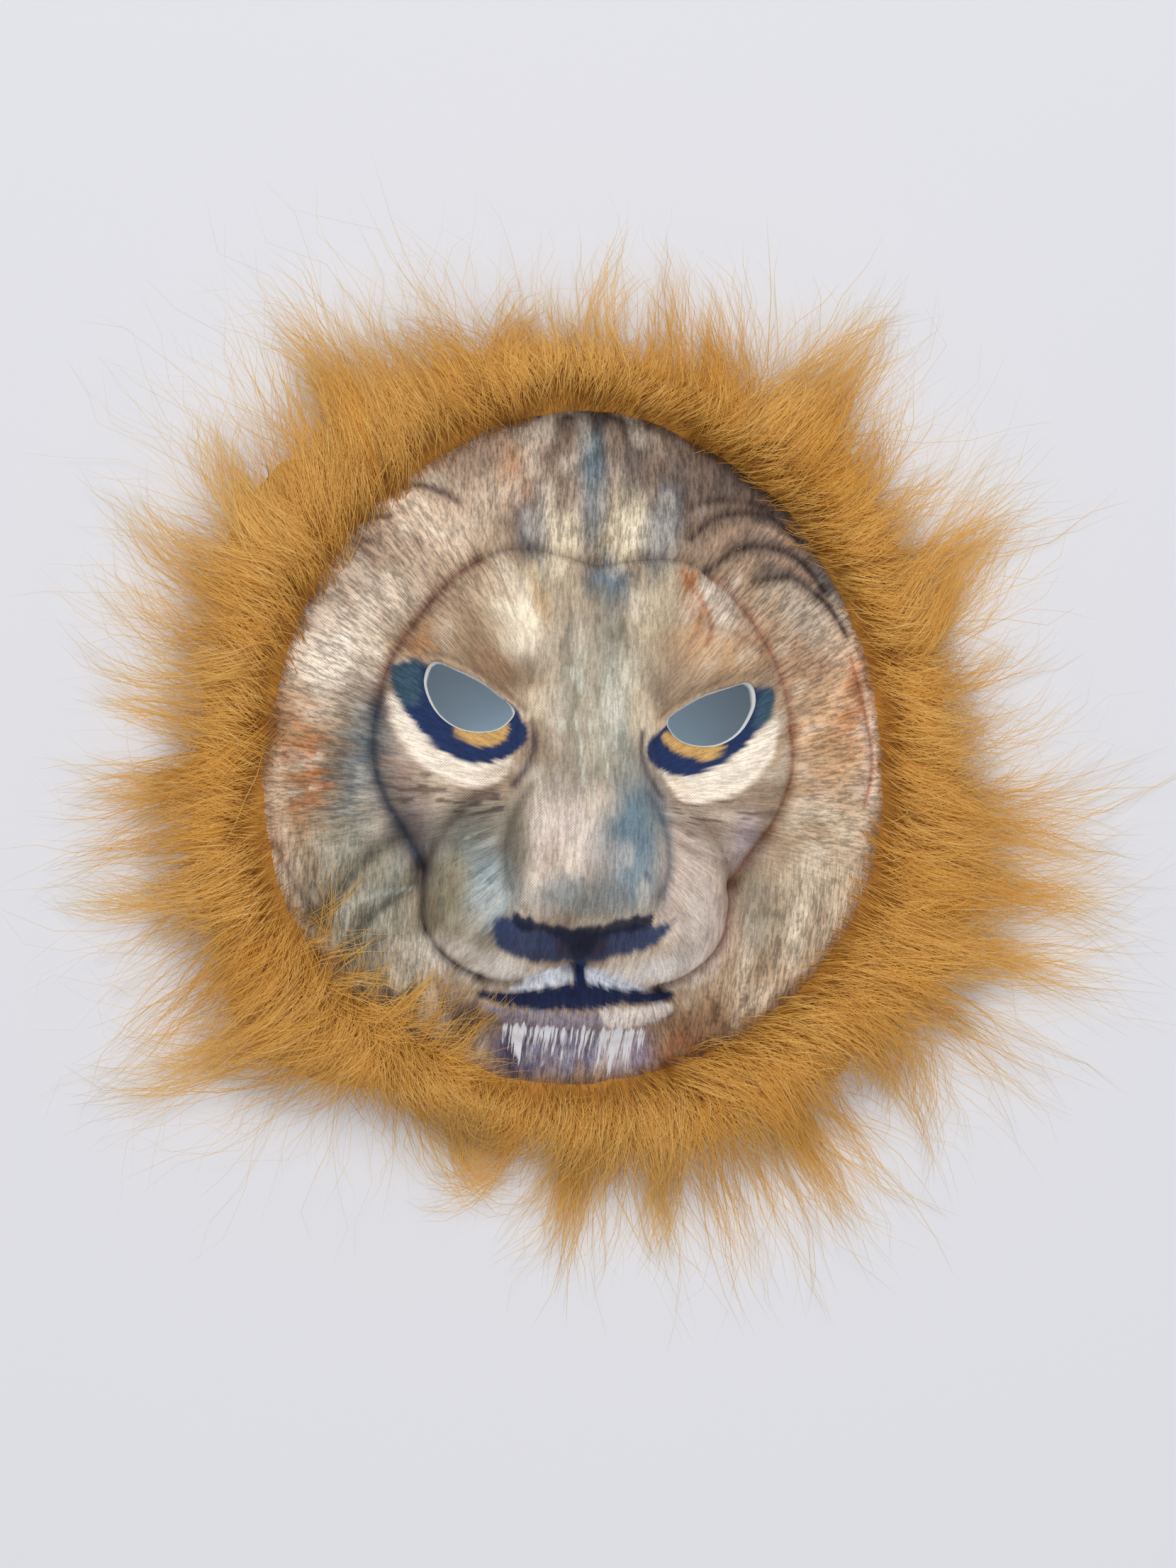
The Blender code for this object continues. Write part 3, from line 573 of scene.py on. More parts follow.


# Broad patches of the print, laid one over the other: x, y, half-width across, half-width along, turn,
# strength, and colour. The darkest patches by the top rim and on the upper right border are partly
# painted shadow of the mane.
PATCHES = (
    # forehead above the plate
    (0, 92, 46, 34, 0, 0.8, "#84756a"), (-16, 96, 7, 26, 4, 0.6, "#a8937c"),
    (9, 76, 7, 16, -4, 0.9, "#e4d5b6"), (-13, 68, 8, 10, 12, 0.9, "#e6d6b8"),
    (-3, 96, 4.5, 24, 2, 0.9, "#45606f"), (-23, 72, 5, 18, 10, 0.9, "#4f5660"),
    (22, 74, 6, 22, -12, 0.9, "#485864"), (12, 102, 5, 16, -6, 0.6, "#474549"),
    # The dark band along the top edge, at y 118, is the print's dark hair with painted shadow of the mane.
    (-15, 108, 5, 12, 6, 0.6, DARK_BROWN), (0, 118, 44, 9, 0, 0.9, "#241f22"),
    (34, 100, 12, 16, -20, 0.6, "#5f544e"), (-30, 92, 6, 14, 14, 0.55, "#c99468"),
    (-40, 104, 12, 8, 30, 0.5, "#8d7768"),
    # upper left border
    (-62, 74, 26, 20, 38, 0.75, "#dcc3aa"), (-50, 92, 18, 7, 30, 0.6, "#8d7767"),
    (-86, 66, 10, 18, 36, 0.7, "#86705f"), (-84, 48, 16, 12, 40, 0.6, "#977f6c"),
    (-70, 42, 14, 9, 50, 0.65, "#e4d3bd"), (-97, 42, 9, 12, 20, 0.7, "#7b665a"),
    (-90, 22, 17, 15, 60, 0.9, "#eee0cd"), (-80, 6, 12, 9, 60, 0.6, "#bfa283"),
    (-100, 6, 7, 12, 10, 0.6, "#b48a62"),
    # left cheek
    (-78, -12, 11, 24, -8, 0.85, "#66767c"), (-88, -14, 10, 20, 0, 0.65, "#937a5e"),
    (-98, -18, 8, 22, 0, 0.8, "#b8895a"), (-90, -38, 11, 18, 0, 0.65, "#a0886b"),
    (-103, -36, 6, 22, 0, 0.6, "#dcc6ab"), (-74, -38, 12, 14, -30, 0.6, "#8b9084"),
    (-72, -62, 22, 24, -20, 0.85, "#aba795"), (-86, -64, 10, 16, -30, 0.5, "#8d7f66"),
    (-60, -80, 14, 14, 0, 0.75, "#9a8e7a"), (-54, -96, 22, 9, 0, 0.8, "#54443a"),
    (-64, -50, 4, 12, -28, 0.5, "#97a093"), (-72, -76, 6, 14, -20, 0.3, TEAL),
    # upper right border
    # The dark patches here, most of all the one by the rim at y 98, are partly painted shadow of the mane.
    (58, 84, 26, 20, -38, 0.9, "#61534c"), (74, 68, 18, 14, -38, 0.75, "#6c6460"),
    (86, 58, 12, 12, -30, 0.65, "#57575b"), (46, 74, 7, 15, -20, 0.45, "#a48a72"),
    (64, 74, 10, 4, -10, 0.5, "#a8917c"), (62, 98, 28, 11, -34, 0.9, "#3a302f"),
    (74, 52, 16, 9, -38, 0.7, "#b8aa98"), (92, 38, 13, 14, -10, 0.8, "#d3bba2"),
    # right cheek
    (90, 12, 17, 24, 0, 0.85, "#d9b08a"), (84, 2, 8, 14, 0, 0.5, "#cc9a6a"),
    (98, -30, 12, 24, 0, 0.75, "#d8c2a6"), (80, -24, 12, 22, 0, 0.65, "#b89c80"),
    (84, -58, 16, 24, 16, 0.85, "#e0cdb2"), (62, -54, 7, 20, 14, 0.7, "#8f8876"),
    (68, -82, 16, 14, 0, 0.75, "#c8ad8e"), (48, -96, 14, 12, 0, 0.85, "#8a6849"),
    (74, 34, 6, 12, 10, 0.55, "#a5795a"), (103, 8, 5, 26, 0, 0.6, "#e6d6c4"),
    (93, 22, 4, 14, -10, 0.55, "#c07a4a"), (-94, -14, 4, 16, 4, 0.5, "#b5683a"),
    # plate above the eyes
    (0, 44, 34, 24, 0, 0.6, "#ab9a83"), (-25, 40, 10, 14, 14, 0.95, "#f3e4ca"),
    (-19, 47, 3, 9, 14, 0.6, "#dba35c"), (-14, 53, 9, 10, 6, 0.65, "#cdbda0"),
    (-38, 52, 11, 8, 26, 0.65, "#bda488"), (-44, 34, 15, 7, 12, 0.75, "#a88c6e"),
    (-58, 30, 6, 6, 0, 0.7, "#b88452"), (-33, 24, 9, 5, -30, 0.7, "#ad8560"),
    (4, 55, 8, 8, 0, 0.9, "#53697a"), (5, 40, 5, 14, 0, 0.55, "#7b8a86"),
    (18, 46, 8, 14, -6, 0.7, "#c2b294"), (32, 50, 3.0, 13, 8, 0.9, "#a56b3c"),
    (41, 51, 7, 9, 20, 0.7, "#e6d6c4"), (38, 33, 15, 7, -12, 0.8, "#cfa67c"),
    (56, 36, 7, 6, -30, 0.65, "#b88c60"), (14, 20, 7, 12, 0, 0.5, "#a59a80"),
    # nose bridge and inner corners
    (0, 14, 17, 28, 0, 0.75, "#c0b8a4"), (-8, 16, 4, 22, 0, 0.5, "#716c5d"),
    (6, 12, 5, 20, 0, 0.6, "#b8bcae"), (12, -4, 5, 16, -8, 0.5, "#7b8a86"),
    (-20, 12, 5, 11, 0, 0.75, "#cdb595"), (17, 9, 5, 11, 0, 0.75, "#dcc8a8"),
    (-14, -8, 6, 12, 0, 0.55, "#8d775e"), (0, -13, 18, 7, 0, 0.6, "#877c66"),
    (22, 18, 5, 7, 0, 0.5, "#6f5a4c"), (-24, 22, 6, 6, 0, 0.5, "#6f5845"),
    # cheekbones
    (-52, -20, 18, 10, 24, 0.8, "#bfab95"), (-62, -14, 6, 14, 20, 0.6, "#a58f86"),
    (-56, -32, 8, 11, 20, 0.75, "#75696a"), (50, -22, 16, 10, -24, 0.75, "#b4a28c"),
    (62, -12, 7, 14, -14, 0.6, "#a5907c"), (54, -30, 7, 11, -20, 0.7, "#a596a0"),
    (-35, -24, 10, 6, 10, 0.65, "#77614e"), (34, -22, 9, 6, -10, 0.65, "#8a7563"),
    (-28, -32, 5, 5, 0, 0.6, "#c9b8a4"),
    # nose
    (0, -34, 28, 27, 0, 0.85, "#9a9486"), (-8, -30, 13, 17, 18, 0.95, "#ddccbf"),
    (-14, -44, 9, 11, 0, 0.85, "#d8c5b5"), (14, -27, 11, 18, -12, 0.95, "#6a7f8a"),
    (2, -18, 6, 6, 0, 0.6, "#cdbba8"), (16, -44, 9, 9, 0, 0.7, "#7f929c"),
    (-2, -49, 17, 6, 0, 0.8, "#7f8787"), (-24, -34, 4, 16, 0, 0.6, "#7a725c"),
    (25, -38, 3, 16, 0, 0.65, "#4a6072"), (6, -36, 6, 6, 0, 0.5, "#c2bab4"),
    # muzzle
    (-38, -40, 14, 17, 0, 0.9, "#6c736e"), (-40, -58, 13, 15, 0, 0.85, "#8f8669"),
    (-31, -75, 18, 7, -12, 0.95, "#efe5d8"), (-31, -50, 8, 13, 10, 0.8, "#a8b4b8"),
    (-44, -46, 7, 8, 10, 0.55, "#b4a788"), (-18, -78, 12, 4, -12, 0.7, "#f0e8e0"),
    (36, -42, 12, 18, 0, 0.9, "#d0bdb0"), (40, -60, 12, 14, 0, 0.9, "#dccdc0"),
    (26, -75, 18, 7, 12, 0.95, "#f4ece3"), (46, -32, 6, 9, 20, 0.6, "#857264"),
    (34, -30, 7, 6, 0, 0.5, "#a08b80"), (49, -62, 4, 14, -6, 0.5, "#c29a94"),
    # under the beard
    (-16, -106, 10, 10, 0, 0.9, "#414a74"), (4, -105, 14, 10, 0, 0.85, "#7d7f9e"),
    (24, -106, 8, 9, 0, 0.8, "#8e84a0"), (40, -104, 8, 9, 0, 0.85, "#9a6642"),
    (-33, -98, 8, 8, 0, 0.8, "#4a3a3c"),
)

# Crisp shapes of the print: name, strength, softness of the edge, colour, and outline.
SHAPES = (
    ("pale skin under left eye", 1.0, 3.0, "#f6e7d3", (
        (-68, 13), (-66, 5), (-62.5, -2), (-56, -9), (-49, -13.6), (-42, -16), (-35, -16.4),
        (-28, -12.5), (-25.5, -6.5), (-30, -3), (-40, 0), (-52, 6), (-62, 12))),
    ("pale skin under right eye", 1.0, 3.0, "#f6e7d3", (
        (64.5, 12), (64, 5), (62.5, -1), (58.5, -6.5), (53.5, -11), (47, -15), (40.5, -17.4), (34, -17),
        (29, -14), (24.5, -9), (24, -4), (34, -2), (46, 2), (56, 8))),
    ("left eye line", 1.0, 1.6, NAVY, (
        (-57, 24.2), (-62, 23.8), (-66.8, 21.5), (-65.4, 13.2), (-61.5, 7), (-56.9, 1.5), (-52, -2.8),
        (-46.2, -6.4), (-37.6, -8.5), (-27.5, -6.2), (-21.2, 0.1), (-22, 6), (-27, 12), (-36, 12),
        (-48, 18))),
    ("right eye line", 1.0, 1.6, NAVY, (
        (56.2, 23.2), (62, 22.8), (62, 17), (59, 11), (56, 6.5), (52.3, 2.5), (48, -1.5), (43.8, -4.5),
        (39.5, -6.8), (34.6, -8.3), (30, -8.5), (25, -7.3), (19, -4), (18.6, 1), (22.8, 6), (27, 9),
        (38, 12), (50, 18))),
    ("left outer corner", 0.75, 3.0, TEAL, (
        (-58, 24.6), (-63.4, 23.7), (-66.8, 21), (-66, 13.5), (-61, 8.5), (-56.6, 11.8))),
    ("right outer corner", 0.75, 3.0, TEAL, (
        (57.5, 23.5), (62, 23), (62.5, 17), (60, 10.5), (56, 9), (56, 16))),
    ("left amber", 0.95, 1.6, OCHRE, (
        (-45, 2), (-41.5, -1.2), (-38, -2.8), (-34, -2.8), (-29.5, -1.4), (-27.6, 2), (-28, 6),
        (-36, 5))),
    ("right amber", 0.95, 1.6, OCHRE, (
        (24, 5), (26.5, 1), (30, -1.2), (35, -2.2), (40.3, -2), (44, 0), (46.3, 2.2), (40, 4), (30, 6))),
    ("nostrils", 0.95, 2.6, "#1f3358", (
        (-28.3, -58.4), (-29.2, -62), (-28.6, -65.5), (-24.1, -69.6), (-13.5, -72.3), (-2.4, -72.9),
        (2.5, -74.8), (5.7, -72.3), (11.3, -69.3), (21.1, -65.5), (26, -61.5), (29.6, -55),
        (24.4, -57.6), (20, -57), (8, -60), (-3, -61.5), (-15, -60), (-22, -58))),
    ("between the nostrils", 0.6, 3.0, "#3a2430", (
        (-7, -62.5), (7, -62), (6, -70), (-5, -70))),
    ("nose edge", 0.95, 1.8, "#141a34", (
        (-22.7, -56.2), (-15, -58.2), (-3, -60.2), (7.8, -57.5), (21.7, -53.8), (21.2, -58.2),
        (14, -60.6), (7.9, -62.2), (5.5, -66), (4, -71), (2.5, -74.5), (-1, -71), (-4.7, -66.5),
        (-7.9, -63), (-15, -62), (-21.6, -60.5))),
    ("upper lip, left", 0.95, 2.2, LILAC, (
        (-23, -84.8), (-17.5, -81.8), (-9, -77), (0.9, -74.6), (1.9, -79.8), (-6.8, -83), (-14, -85))),
    ("upper lip, right", 0.95, 2.2, LILAC, (
        (4.3, -75), (11.8, -75.6), (21.5, -80), (25, -82.6), (12.3, -83), (5.3, -80.6))),
    ("cleft", 1.0, 0.9, NAVY, (
        (1, -73), (4.4, -73), (4.4, -83), (1.6, -83))),
    ("mouth", 1.0, 2.2, "#1a2444", (
        (-31.6, -85.5), (-24, -84.6), (-17.1, -84), (-6.8, -82), (2.7, -80), (14, -81.4), (24.6, -82.2),
        (35.5, -82.3), (32.8, -85.8), (17.7, -87.2), (5.7, -89.3), (-11.5, -90), (-27.1, -88.4))),
    ("lower lip, left", 0.8, 2.2, "#8d8492", (
        (-29, -89), (-20, -90.5), (-6, -91), (6, -90.5), (12, -90), (13, -95), (0, -96.5), (-14, -96.5),
        (-26, -94))),
    ("lower lip, right", 0.95, 2.0, "#dccfc6", (
        (11, -89.5), (20, -88.3), (34.5, -86.5), (33, -91), (26, -94), (15, -95.5))),
)

# Dashes of hair colour: x, y, half-width across, half-width along, how much of the ground they cover,
# strength, and colour.
DASHES = (
    (-50, -20, 22, 9, 0.45, 0.75, "#4f3d33"), (50, -20, 20, 9, 0.45, 0.7, "#58453a"),
    (-33, -23, 9, 7, 0.55, 0.75, "#3a2e30"), (33, -23, 9, 7, 0.5, 0.7, "#4a393c"),
    (46, -54, 9, 22, 0.28, 0.5, "#6f4a4c"), (-44, -60, 9, 16, 0.3, 0.55, "#46524c"),
    (-76, 62, 28, 24, 0.5, 0.6, "#8a7162"), (-88, 30, 20, 22, 0.35, 0.5, "#f4e9da"),
    (-60, 78, 22, 18, 0.4, 0.5, "#eadbc8"), (-98, -20, 9, 30, 0.45, 0.75, "#ead8c0"),
    (-96, -8, 10, 20, 0.35, 0.7, "#a8643a"), (-76, -50, 22, 30, 0.35, 0.35, "#5a5f55"),
    (92, 14, 14, 26, 0.42, 0.55, "#b87746"), (88, -30, 18, 40, 0.45, 0.5, "#93795c"),
    (74, -66, 20, 26, 0.45, 0.45, "#8b7b62"), (90, -20, 18, 44, 0.3, 0.4, "#ecdcc4"),
    (62, 82, 24, 22, 0.45, 0.5, "#4d4340"), (0, 92, 30, 26, 0.45, 0.5, "#54493f"),
    (-26, 42, 12, 14, 0.35, 0.45, "#c79a62"), (0, 34, 30, 24, 0.4, 0.45, "#6d6453"),
    (0, 8, 16, 30, 0.4, 0.5, "#d4d4c6"), (54, -90, 16, 14, 0.5, 0.7, "#5f4430"),
    (-10, -34, 16, 20, 0.3, 0.35, "#b09a8c"), (16, -32, 10, 20, 0.4, 0.4, "#43586a"),
    (-39, -50, 13, 22, 0.42, 0.5, "#3c5558"), (-36, -48, 13, 20, 0.3, 0.45, "#d3d6c6"),
    (42, -46, 10, 22, 0.3, 0.3, "#f2e4da"),
)

# How far coarse and fine strokes of noise move the edges of patches, from end to end.
STROKE_SHIFT, FINE_SHIFT = 9.0, 5.0

# How strongly broad dark and pale mottles cover the print.
MOTTLE_STRENGTH = 0.28

# The beard: left edge, right edge, top and bottom of the pale strokes under the lower lip.
BEARD = (-25.0, 33.0, -94.5, -116.0)


def lay_over(colour, mask, hexed):
    """The colour, covered by the new one as far as the mask says."""
    return colour + mask[:, None] * (linear(hexed) - colour)


def upright(x, y):
    """How far the printed hair lies straight up and down, from 0 to 1: on the low cheeks, the forehead and
    the nose. Elsewhere it lies away from the hub."""
    low = smooth(-22, -50, y) * smooth(30, 48, abs(x))
    middle = 1 - smooth(16, 34, abs(x))
    high = smooth(52, 84, y) * (1 - smooth(30, 70, abs(x)))
    return np.clip(np.maximum.reduce([low, middle, high]), 0, 1)


def around_hub(x, y):
    """Distance from the hub, and bearing round it."""
    away_x, away_y = x - HUB[0], y - HUB[1]
    return np.hypot(away_x, away_y), np.arctan2(away_y, away_x)


def ragged(x, y, across, along, seed):
    """Noise from -0.5 to 0.5 in strokes that follow the printed hair: so many millimetres wide, 70 mm from
    the hub, and so many long."""
    from_hub, bearing = around_hub(x, y)
    away = lattice_noise(bearing * 70 / across + 400, from_hub / along, seed)
    straight = lattice_noise(x / across + 400, y / along + 300, seed + 1)
    share = upright(x, y)
    return away + share * (straight - away) - 0.5


def ellipse(x, y, middle_x, middle_y, across, along, turn=0.0):
    """Distance from the middle of an ellipse, as a multiple of its half-widths."""
    c, s = math.cos(math.radians(turn)), math.sin(math.radians(turn))
    u = ((x - middle_x) * c + (y - middle_y) * s) / across
    v = (-(x - middle_x) * s + (y - middle_y) * c) / along
    return np.hypot(u, v)


def paint(x, y):
    """The printed picture at each place.

    Every patch is an ellipse whose mask is 1 in the middle and 0 at 1.6 half-widths. Before that the
    place is moved along the lie of the fur by noise that is narrow across it, so that edges end in
    strokes. Broader noise mottles the picture a little. Dashes show where finer noise is above a level,
    within an ellipse. Crisp shapes use the distance to their outline, and creases the distance to their
    line. The dark lines along creases and folds are partly print and partly painted shade in the grooves,
    the pale lines on the ridges beside the right wrinkles are painted highlights, and the darkest patches
    by the top rim are partly painted shadow of the mane."""
    from_hub, _ = around_hub(x, y)
    share = upright(x, y)
    lie_x = (x - HUB[0]) / np.maximum(from_hub, 1) * (1 - share)
    lie_y = (y - HUB[1]) / np.maximum(from_hub, 1) * (1 - share) + share
    strokes, fine = ragged(x, y, 2.2, 11, 3), ragged(x, y, 1.2, 7, 5)
    moved = (STROKE_SHIFT * strokes + FINE_SHIFT * fine) * (0.35 + 0.65 * smooth(40, 80, from_hub))
    px, py = x + lie_x * moved, y + lie_y * moved
    colour = np.tile(linear(TAN), (len(x), 1))
    for mx, my, across, along, turn, strength, hexed in PATCHES:
        mask = 1 - smooth(0.35, 1.6, ellipse(px, py, mx, my, across, along, turn))
        colour = lay_over(colour, strength * mask, hexed)
    mottle = ragged(x, y, 6.0, 12, 71)
    for sign, hexed in ((1, "#6a5140"), (-1, "#f0e2ce")):
        colour = lay_over(colour, MOTTLE_STRENGTH * smooth(0.02, 0.3, sign * mottle), hexed)
    for number, (mx, my, across, along, cover, strength, hexed) in enumerate(DASHES):
        where = 1 - smooth(0.5, 1.3, ellipse(px, py, mx, my, across, along))
        level = 0.5 - 0.55 * cover
        dash = smooth(level - 0.06, level + 0.1, ragged(x, y, 1.5, 6, 40 + 2 * number))
        colour = lay_over(colour, strength * where * dash, hexed)
    # Lines along the creases: partly print, partly painted shade in the grooves, and painted highlights on
    # a few ridges.
    for _, _, _, half, strength, hexed, points in each_crease():
        away = line_distance(x, y, points)
        printed = np.exp(-((away / (0.65 * half)) ** 2)) * (0.9 + 0.5 * fine)
        colour = lay_over(colour, strength * printed, hexed)
    for _, strength, soft, hexed, outline in SHAPES:
        loop = smooth_loop(outline, per_side=4)
        near = (abs(x - loop[:, 0].mean()) < 60) & (abs(y - loop[:, 1].mean()) < 60)
        depth = np.full(len(x), -50.0)
        torn = 1.0 * fine[near] + 0.4 * strokes[near]
        depth[near] = inside_depth(x[near], y[near], loop) + torn * min(soft, 2.0)
        colour = lay_over(colour, strength * smooth(-soft / 2, soft / 2, depth), hexed)
    return colour


def beard_mask(x, y):
    """How thickly the beard's white strokes grow: 1 under the lip, thinning downwards as
    1 - (distance / 25 mm)^2, and falling to 0 over 8 mm on the left and 11 mm on the right. It narrows
    downwards on the left."""
    left, right, top, bottom = BEARD
    left = left + 0.3 * np.clip(top - y, 0, 20)
    wide = smooth(left - 2, left + 6, x) * (1 - smooth(right - 10, right + 1, x))
    thin = 1 - np.clip((top - y) / 25, 0, 1) ** 2
    return wide * thin * smooth(bottom - 4, bottom, y) * (1 - smooth(top - 3, top + 1.5, y))


class Nodes:
    """A material with its node tree. The method add, and the short ones after feed, each add one node and
    give one of its outputs."""

    def __init__(self, name, roughness, specular=0.5):
        self.material = bpy.data.materials.new(name)
        self.material.use_nodes = True
        self.tree = self.material.node_tree
        self.shader = self.tree.nodes["Principled BSDF"]
        self.shader.inputs["Roughness"].default_value = roughness
        self.shader.inputs["Specular IOR Level"].default_value = specular

    def add(self, kind, *values, output=0, **named):
        """Values go to the inputs in order. A name in lower case is a property of the node, a line with a
        number is an input by its number, and any other name is an input."""
        node = self.tree.nodes.new("ShaderNode" + kind)
        for name, value in named.items():
            if name.islower():
                setattr(node, name, value)
            else:
                key = int(name[1:]) if name[1:].isdigit() else name.replace("_", " ")
                self.feed(node.inputs[key], value)
        for number, value in enumerate(values):
            self.feed(node.inputs[number], value)
        return node.outputs[output]

    def feed(self, socket, value):
        if isinstance(value, bpy.types.NodeSocket):
            self.tree.links.new(value, socket)
        else:
            socket.default_value = value

    def attribute(self, name, output):
        return self.add("Attribute", attribute_name=name, output=output)

    def place(self):
        return self.add("TexCoord", output="Object")

    def noise(self, place, scale=1.0, detail=2.0, roughness=0.5):
        return self.add("TexNoise", Vector=place, Scale=scale, Detail=detail, Roughness=roughness)

    def math(self, operation, *values):
        return self.add("Math", *values, operation=operation)

    def stretched(self, place, scales):
        return self.add("VectorMath", place, scales, operation="MULTIPLY")

    def scaled(self, colour, gain):
        return self.add("VectorMath", colour, operation="SCALE", Scale=gain)

    def finish(self, colour, height=None, strength=0.0, distance=0.0):
        """The material with this colour, and with a bump from the height, so many millimetres high."""
        self.feed(self.shader.inputs["Base Color"], colour)
        if height:
            bump = self.add("Bump", Strength=strength, Distance=distance * MM, Height=height)
            self.feed(self.shader.inputs["Normal"], bump)
        return self.material


# Strokes of the printed hair, coarse and fine: cycles a metre from side to side and up and down where the
# hair lies straight, cycles a radian where it lies away from the hub, and a shift.
STROKES = ((780.0, 140.0, 62.0, 3.4), (1500.0, 260.0, 120.0, 8.6))

# The print's brightness: plain, and how far strokes and fine specks change it.
PLAIN_GAIN, STROKE_GAIN, SPECK_GAIN = 0.85, 0.42, 0.5

# Threads of the beard: cycles a metre from side to side and up and down.
BEARD_THREADS = (560.0, 34.0, 0.0)

# Distance between two rises of the cloth's weave, about twice the real thread spacing, and how far the
# weave changes the brightness.
WEAVE_PITCH, WEAVE_SHADE = 1.0, 0.14


def printed_cloth():
    """Woven polyester with a sublimated fur print: matt, a little fuzzy, with a fine square weave.

    The painted attribute gives the colours. Strokes of hair are noise that is narrow across the lie of the
    printed fur and long along it. They are made once for hair that lies away from the hub and once for
    straight hair, and mixed as the upright attribute says. The beard is white threads, narrow from side to
    side, where the beard attribute plus noise is high. The weave is the product of two sines."""
    made = Nodes("printed_cloth", roughness=0.82, specular=0.25)
    made.shader.inputs["Sheen Weight"].default_value = 0.06
    made.shader.inputs["Sheen Roughness"].default_value = 0.5
    painted = made.attribute("painted", "Color")
    flow = made.attribute("flow", "Vector")
    contrast, straight, bearded = (made.attribute(name, "Fac") for name in ("stroke", "upright", "beard"))
    place = made.place()

    tones = []
    for across, along, around, seed in STROKES:
        lies = []
        for lie, scales in ((flow, (around, around, along * MM)), (place, (across, along, 0.0))):
            moved = made.add("VectorMath", made.stretched(lie, scales), (seed, seed, seed))
            lies.append(made.noise(moved, detail=3.0, roughness=0.7))
        tones.append(made.add("Mix", straight, _2=lies[0], _3=lies[1]))
    speck = made.noise(place, scale=900.0)
    spread = made.add("MapRange", made.math("ADD", *tones), 0.86, 1.14, -1.0, 1.0)
    streak = made.math("MULTIPLY_ADD", made.math("MULTIPLY", spread, contrast), STROKE_GAIN, PLAIN_GAIN)
    streaked = made.scaled(painted, made.math("MULTIPLY_ADD", speck, SPECK_GAIN, streak))

    down = made.add("VectorMath", made.stretched(place, BEARD_THREADS), (0.3, 0.3, 0.4))
    thread = made.noise(down, detail=4.0, roughness=0.7)
    white = made.add("MapRange", made.math("MULTIPLY_ADD", bearded, 0.32, thread), 0.74, 0.82)
    within = made.add("MapRange", bearded, From_Max=0.2)
    pale = made.math("MULTIPLY", white, within)
    beard_colour = (*linear("#f8f9ff"), 1.0)
    whole = made.add("Mix", pale, _6=streaked, _7=beard_colour, data_type="RGBA", output=2)

    turns = 2 * math.pi / (WEAVE_PITCH * MM)
    xyz = made.add("SeparateXYZ", place).node.outputs
    waves = [made.math("SINE", made.math("MULTIPLY", xyz[axis], turns)) for axis in (0, 1)]
    weave = made.math("MULTIPLY", *waves)
    lit = made.math("MULTIPLY_ADD", weave, WEAVE_SHADE, 1.0)
    return made.finish(made.scaled(whole, lit), weave, strength=0.35, distance=0.25)


def white_foam():
    """Closed-cell foam, hot pressed: matt white with a faint grain of cells about 1.5 mm across."""
    made = Nodes("white_foam", roughness=0.7)
    cells = made.noise(made.place(), scale=650.0)
    grain = made.add("MapRange", cells, To_Min=0.92, To_Max=1.04)
    return made.finish(made.scaled(tuple(linear("#e9e9e6")), grain), cells, strength=0.3, distance=0.2)


def fur_pile():
    """Long acrylic pile: golden brown fibres, soft and slightly shiny, each with its own tone."""
    made = Nodes("gold_fur", roughness=0.5, specular=0.25)
    return made.finish(made.attribute("tone", "Color"))


def fur_bed():
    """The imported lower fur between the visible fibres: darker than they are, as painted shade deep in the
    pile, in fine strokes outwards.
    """
    made = Nodes("gold_fur_bed", roughness=0.7, specular=0.2)
    flow = made.attribute("flow", "Vector")
    strokes = made.noise(made.stretched(flow, (120.0, 120.0, 0.08)), detail=4.0, roughness=0.65)
    gain = made.add("MapRange", strokes, 0.3, 0.7, 0.8, 1.12)
    return made.finish(made.scaled(tuple(linear(FUR_BED_SHADE)), gain), strokes, strength=0.3, distance=1.2)


def add_cover(finish):
    """The printed cloth over the whole face."""
    skin, outer, inner, quads = layer_points(COVER_GRID, 0.0, COVER_THICK, COVER_HEM, 0.0)
    cover, used = closed_layer(
        "face_print", outer, inner, quads, finish, ["printed_cover"]
    )
    both = np.concatenate([skin, skin])[used]
    x, y = both[:, 0], both[:, 1]
    set_colour(cover, "painted", paint(x, y))
    from_hub, bearing = around_hub(x, y)
    set_vector(cover, "flow", np.column_stack([np.cos(bearing), np.sin(bearing), from_hub]))
    set_number(cover, "stroke", 0.55 + 0.45 * smooth(60, 90, from_hub))
    set_number(cover, "upright", upright(x, y))
    set_number(cover, "beard", beard_mask(x, y))
    return cover


def add_foam(finish):
    """The moulded foam under the cloth."""
    inset = COVER_THICK + LAYER_GAP
    _, outer, inner, quads = layer_points(FOAM_GRID, inset, FOAM_THICK, 0.0, FOAM_EYE_MARGIN)
    foam, _ = closed_layer("foam_liner", outer, inner, quads, finish, ["foam_shell"])
    return foam


# Colours of the fur from the roots to the thin tips. The dark root colour is partly the pile's own darker
# roots and partly painted shade deep in the pile.
FUR_SHADED_ROOT, FUR_BODY, FUR_LIGHT, FUR_TIP = "#be7f34", "#ecb552", "#f8d07e", "#f6d38a"
# The bed is darker than the fibres: painted shade deep in the pile.
FUR_BED_SHADE = "#c88c3c"

# Stray hairs stay within the first distance of the solids' box, and are eased back over the second.
STRAY_LIMIT, STRAY_EASE = 11.0, 6.0

# Mean radius of the rim, which turns a step along it into a bearing.
MEAN_RIM = 125.0

# How far apart the fibres of a tuft start, in millimetres, and how far their headings and turns differ.
ROOT_SCATTER, HEADING_SCATTER, TURN_SCATTER = 4.5, 1.7, 3.5

# Fibres stay this far above the cloth and the table.
CLOTH_CLEARANCE, TABLE_CLEARANCE = 1.0, 0.35

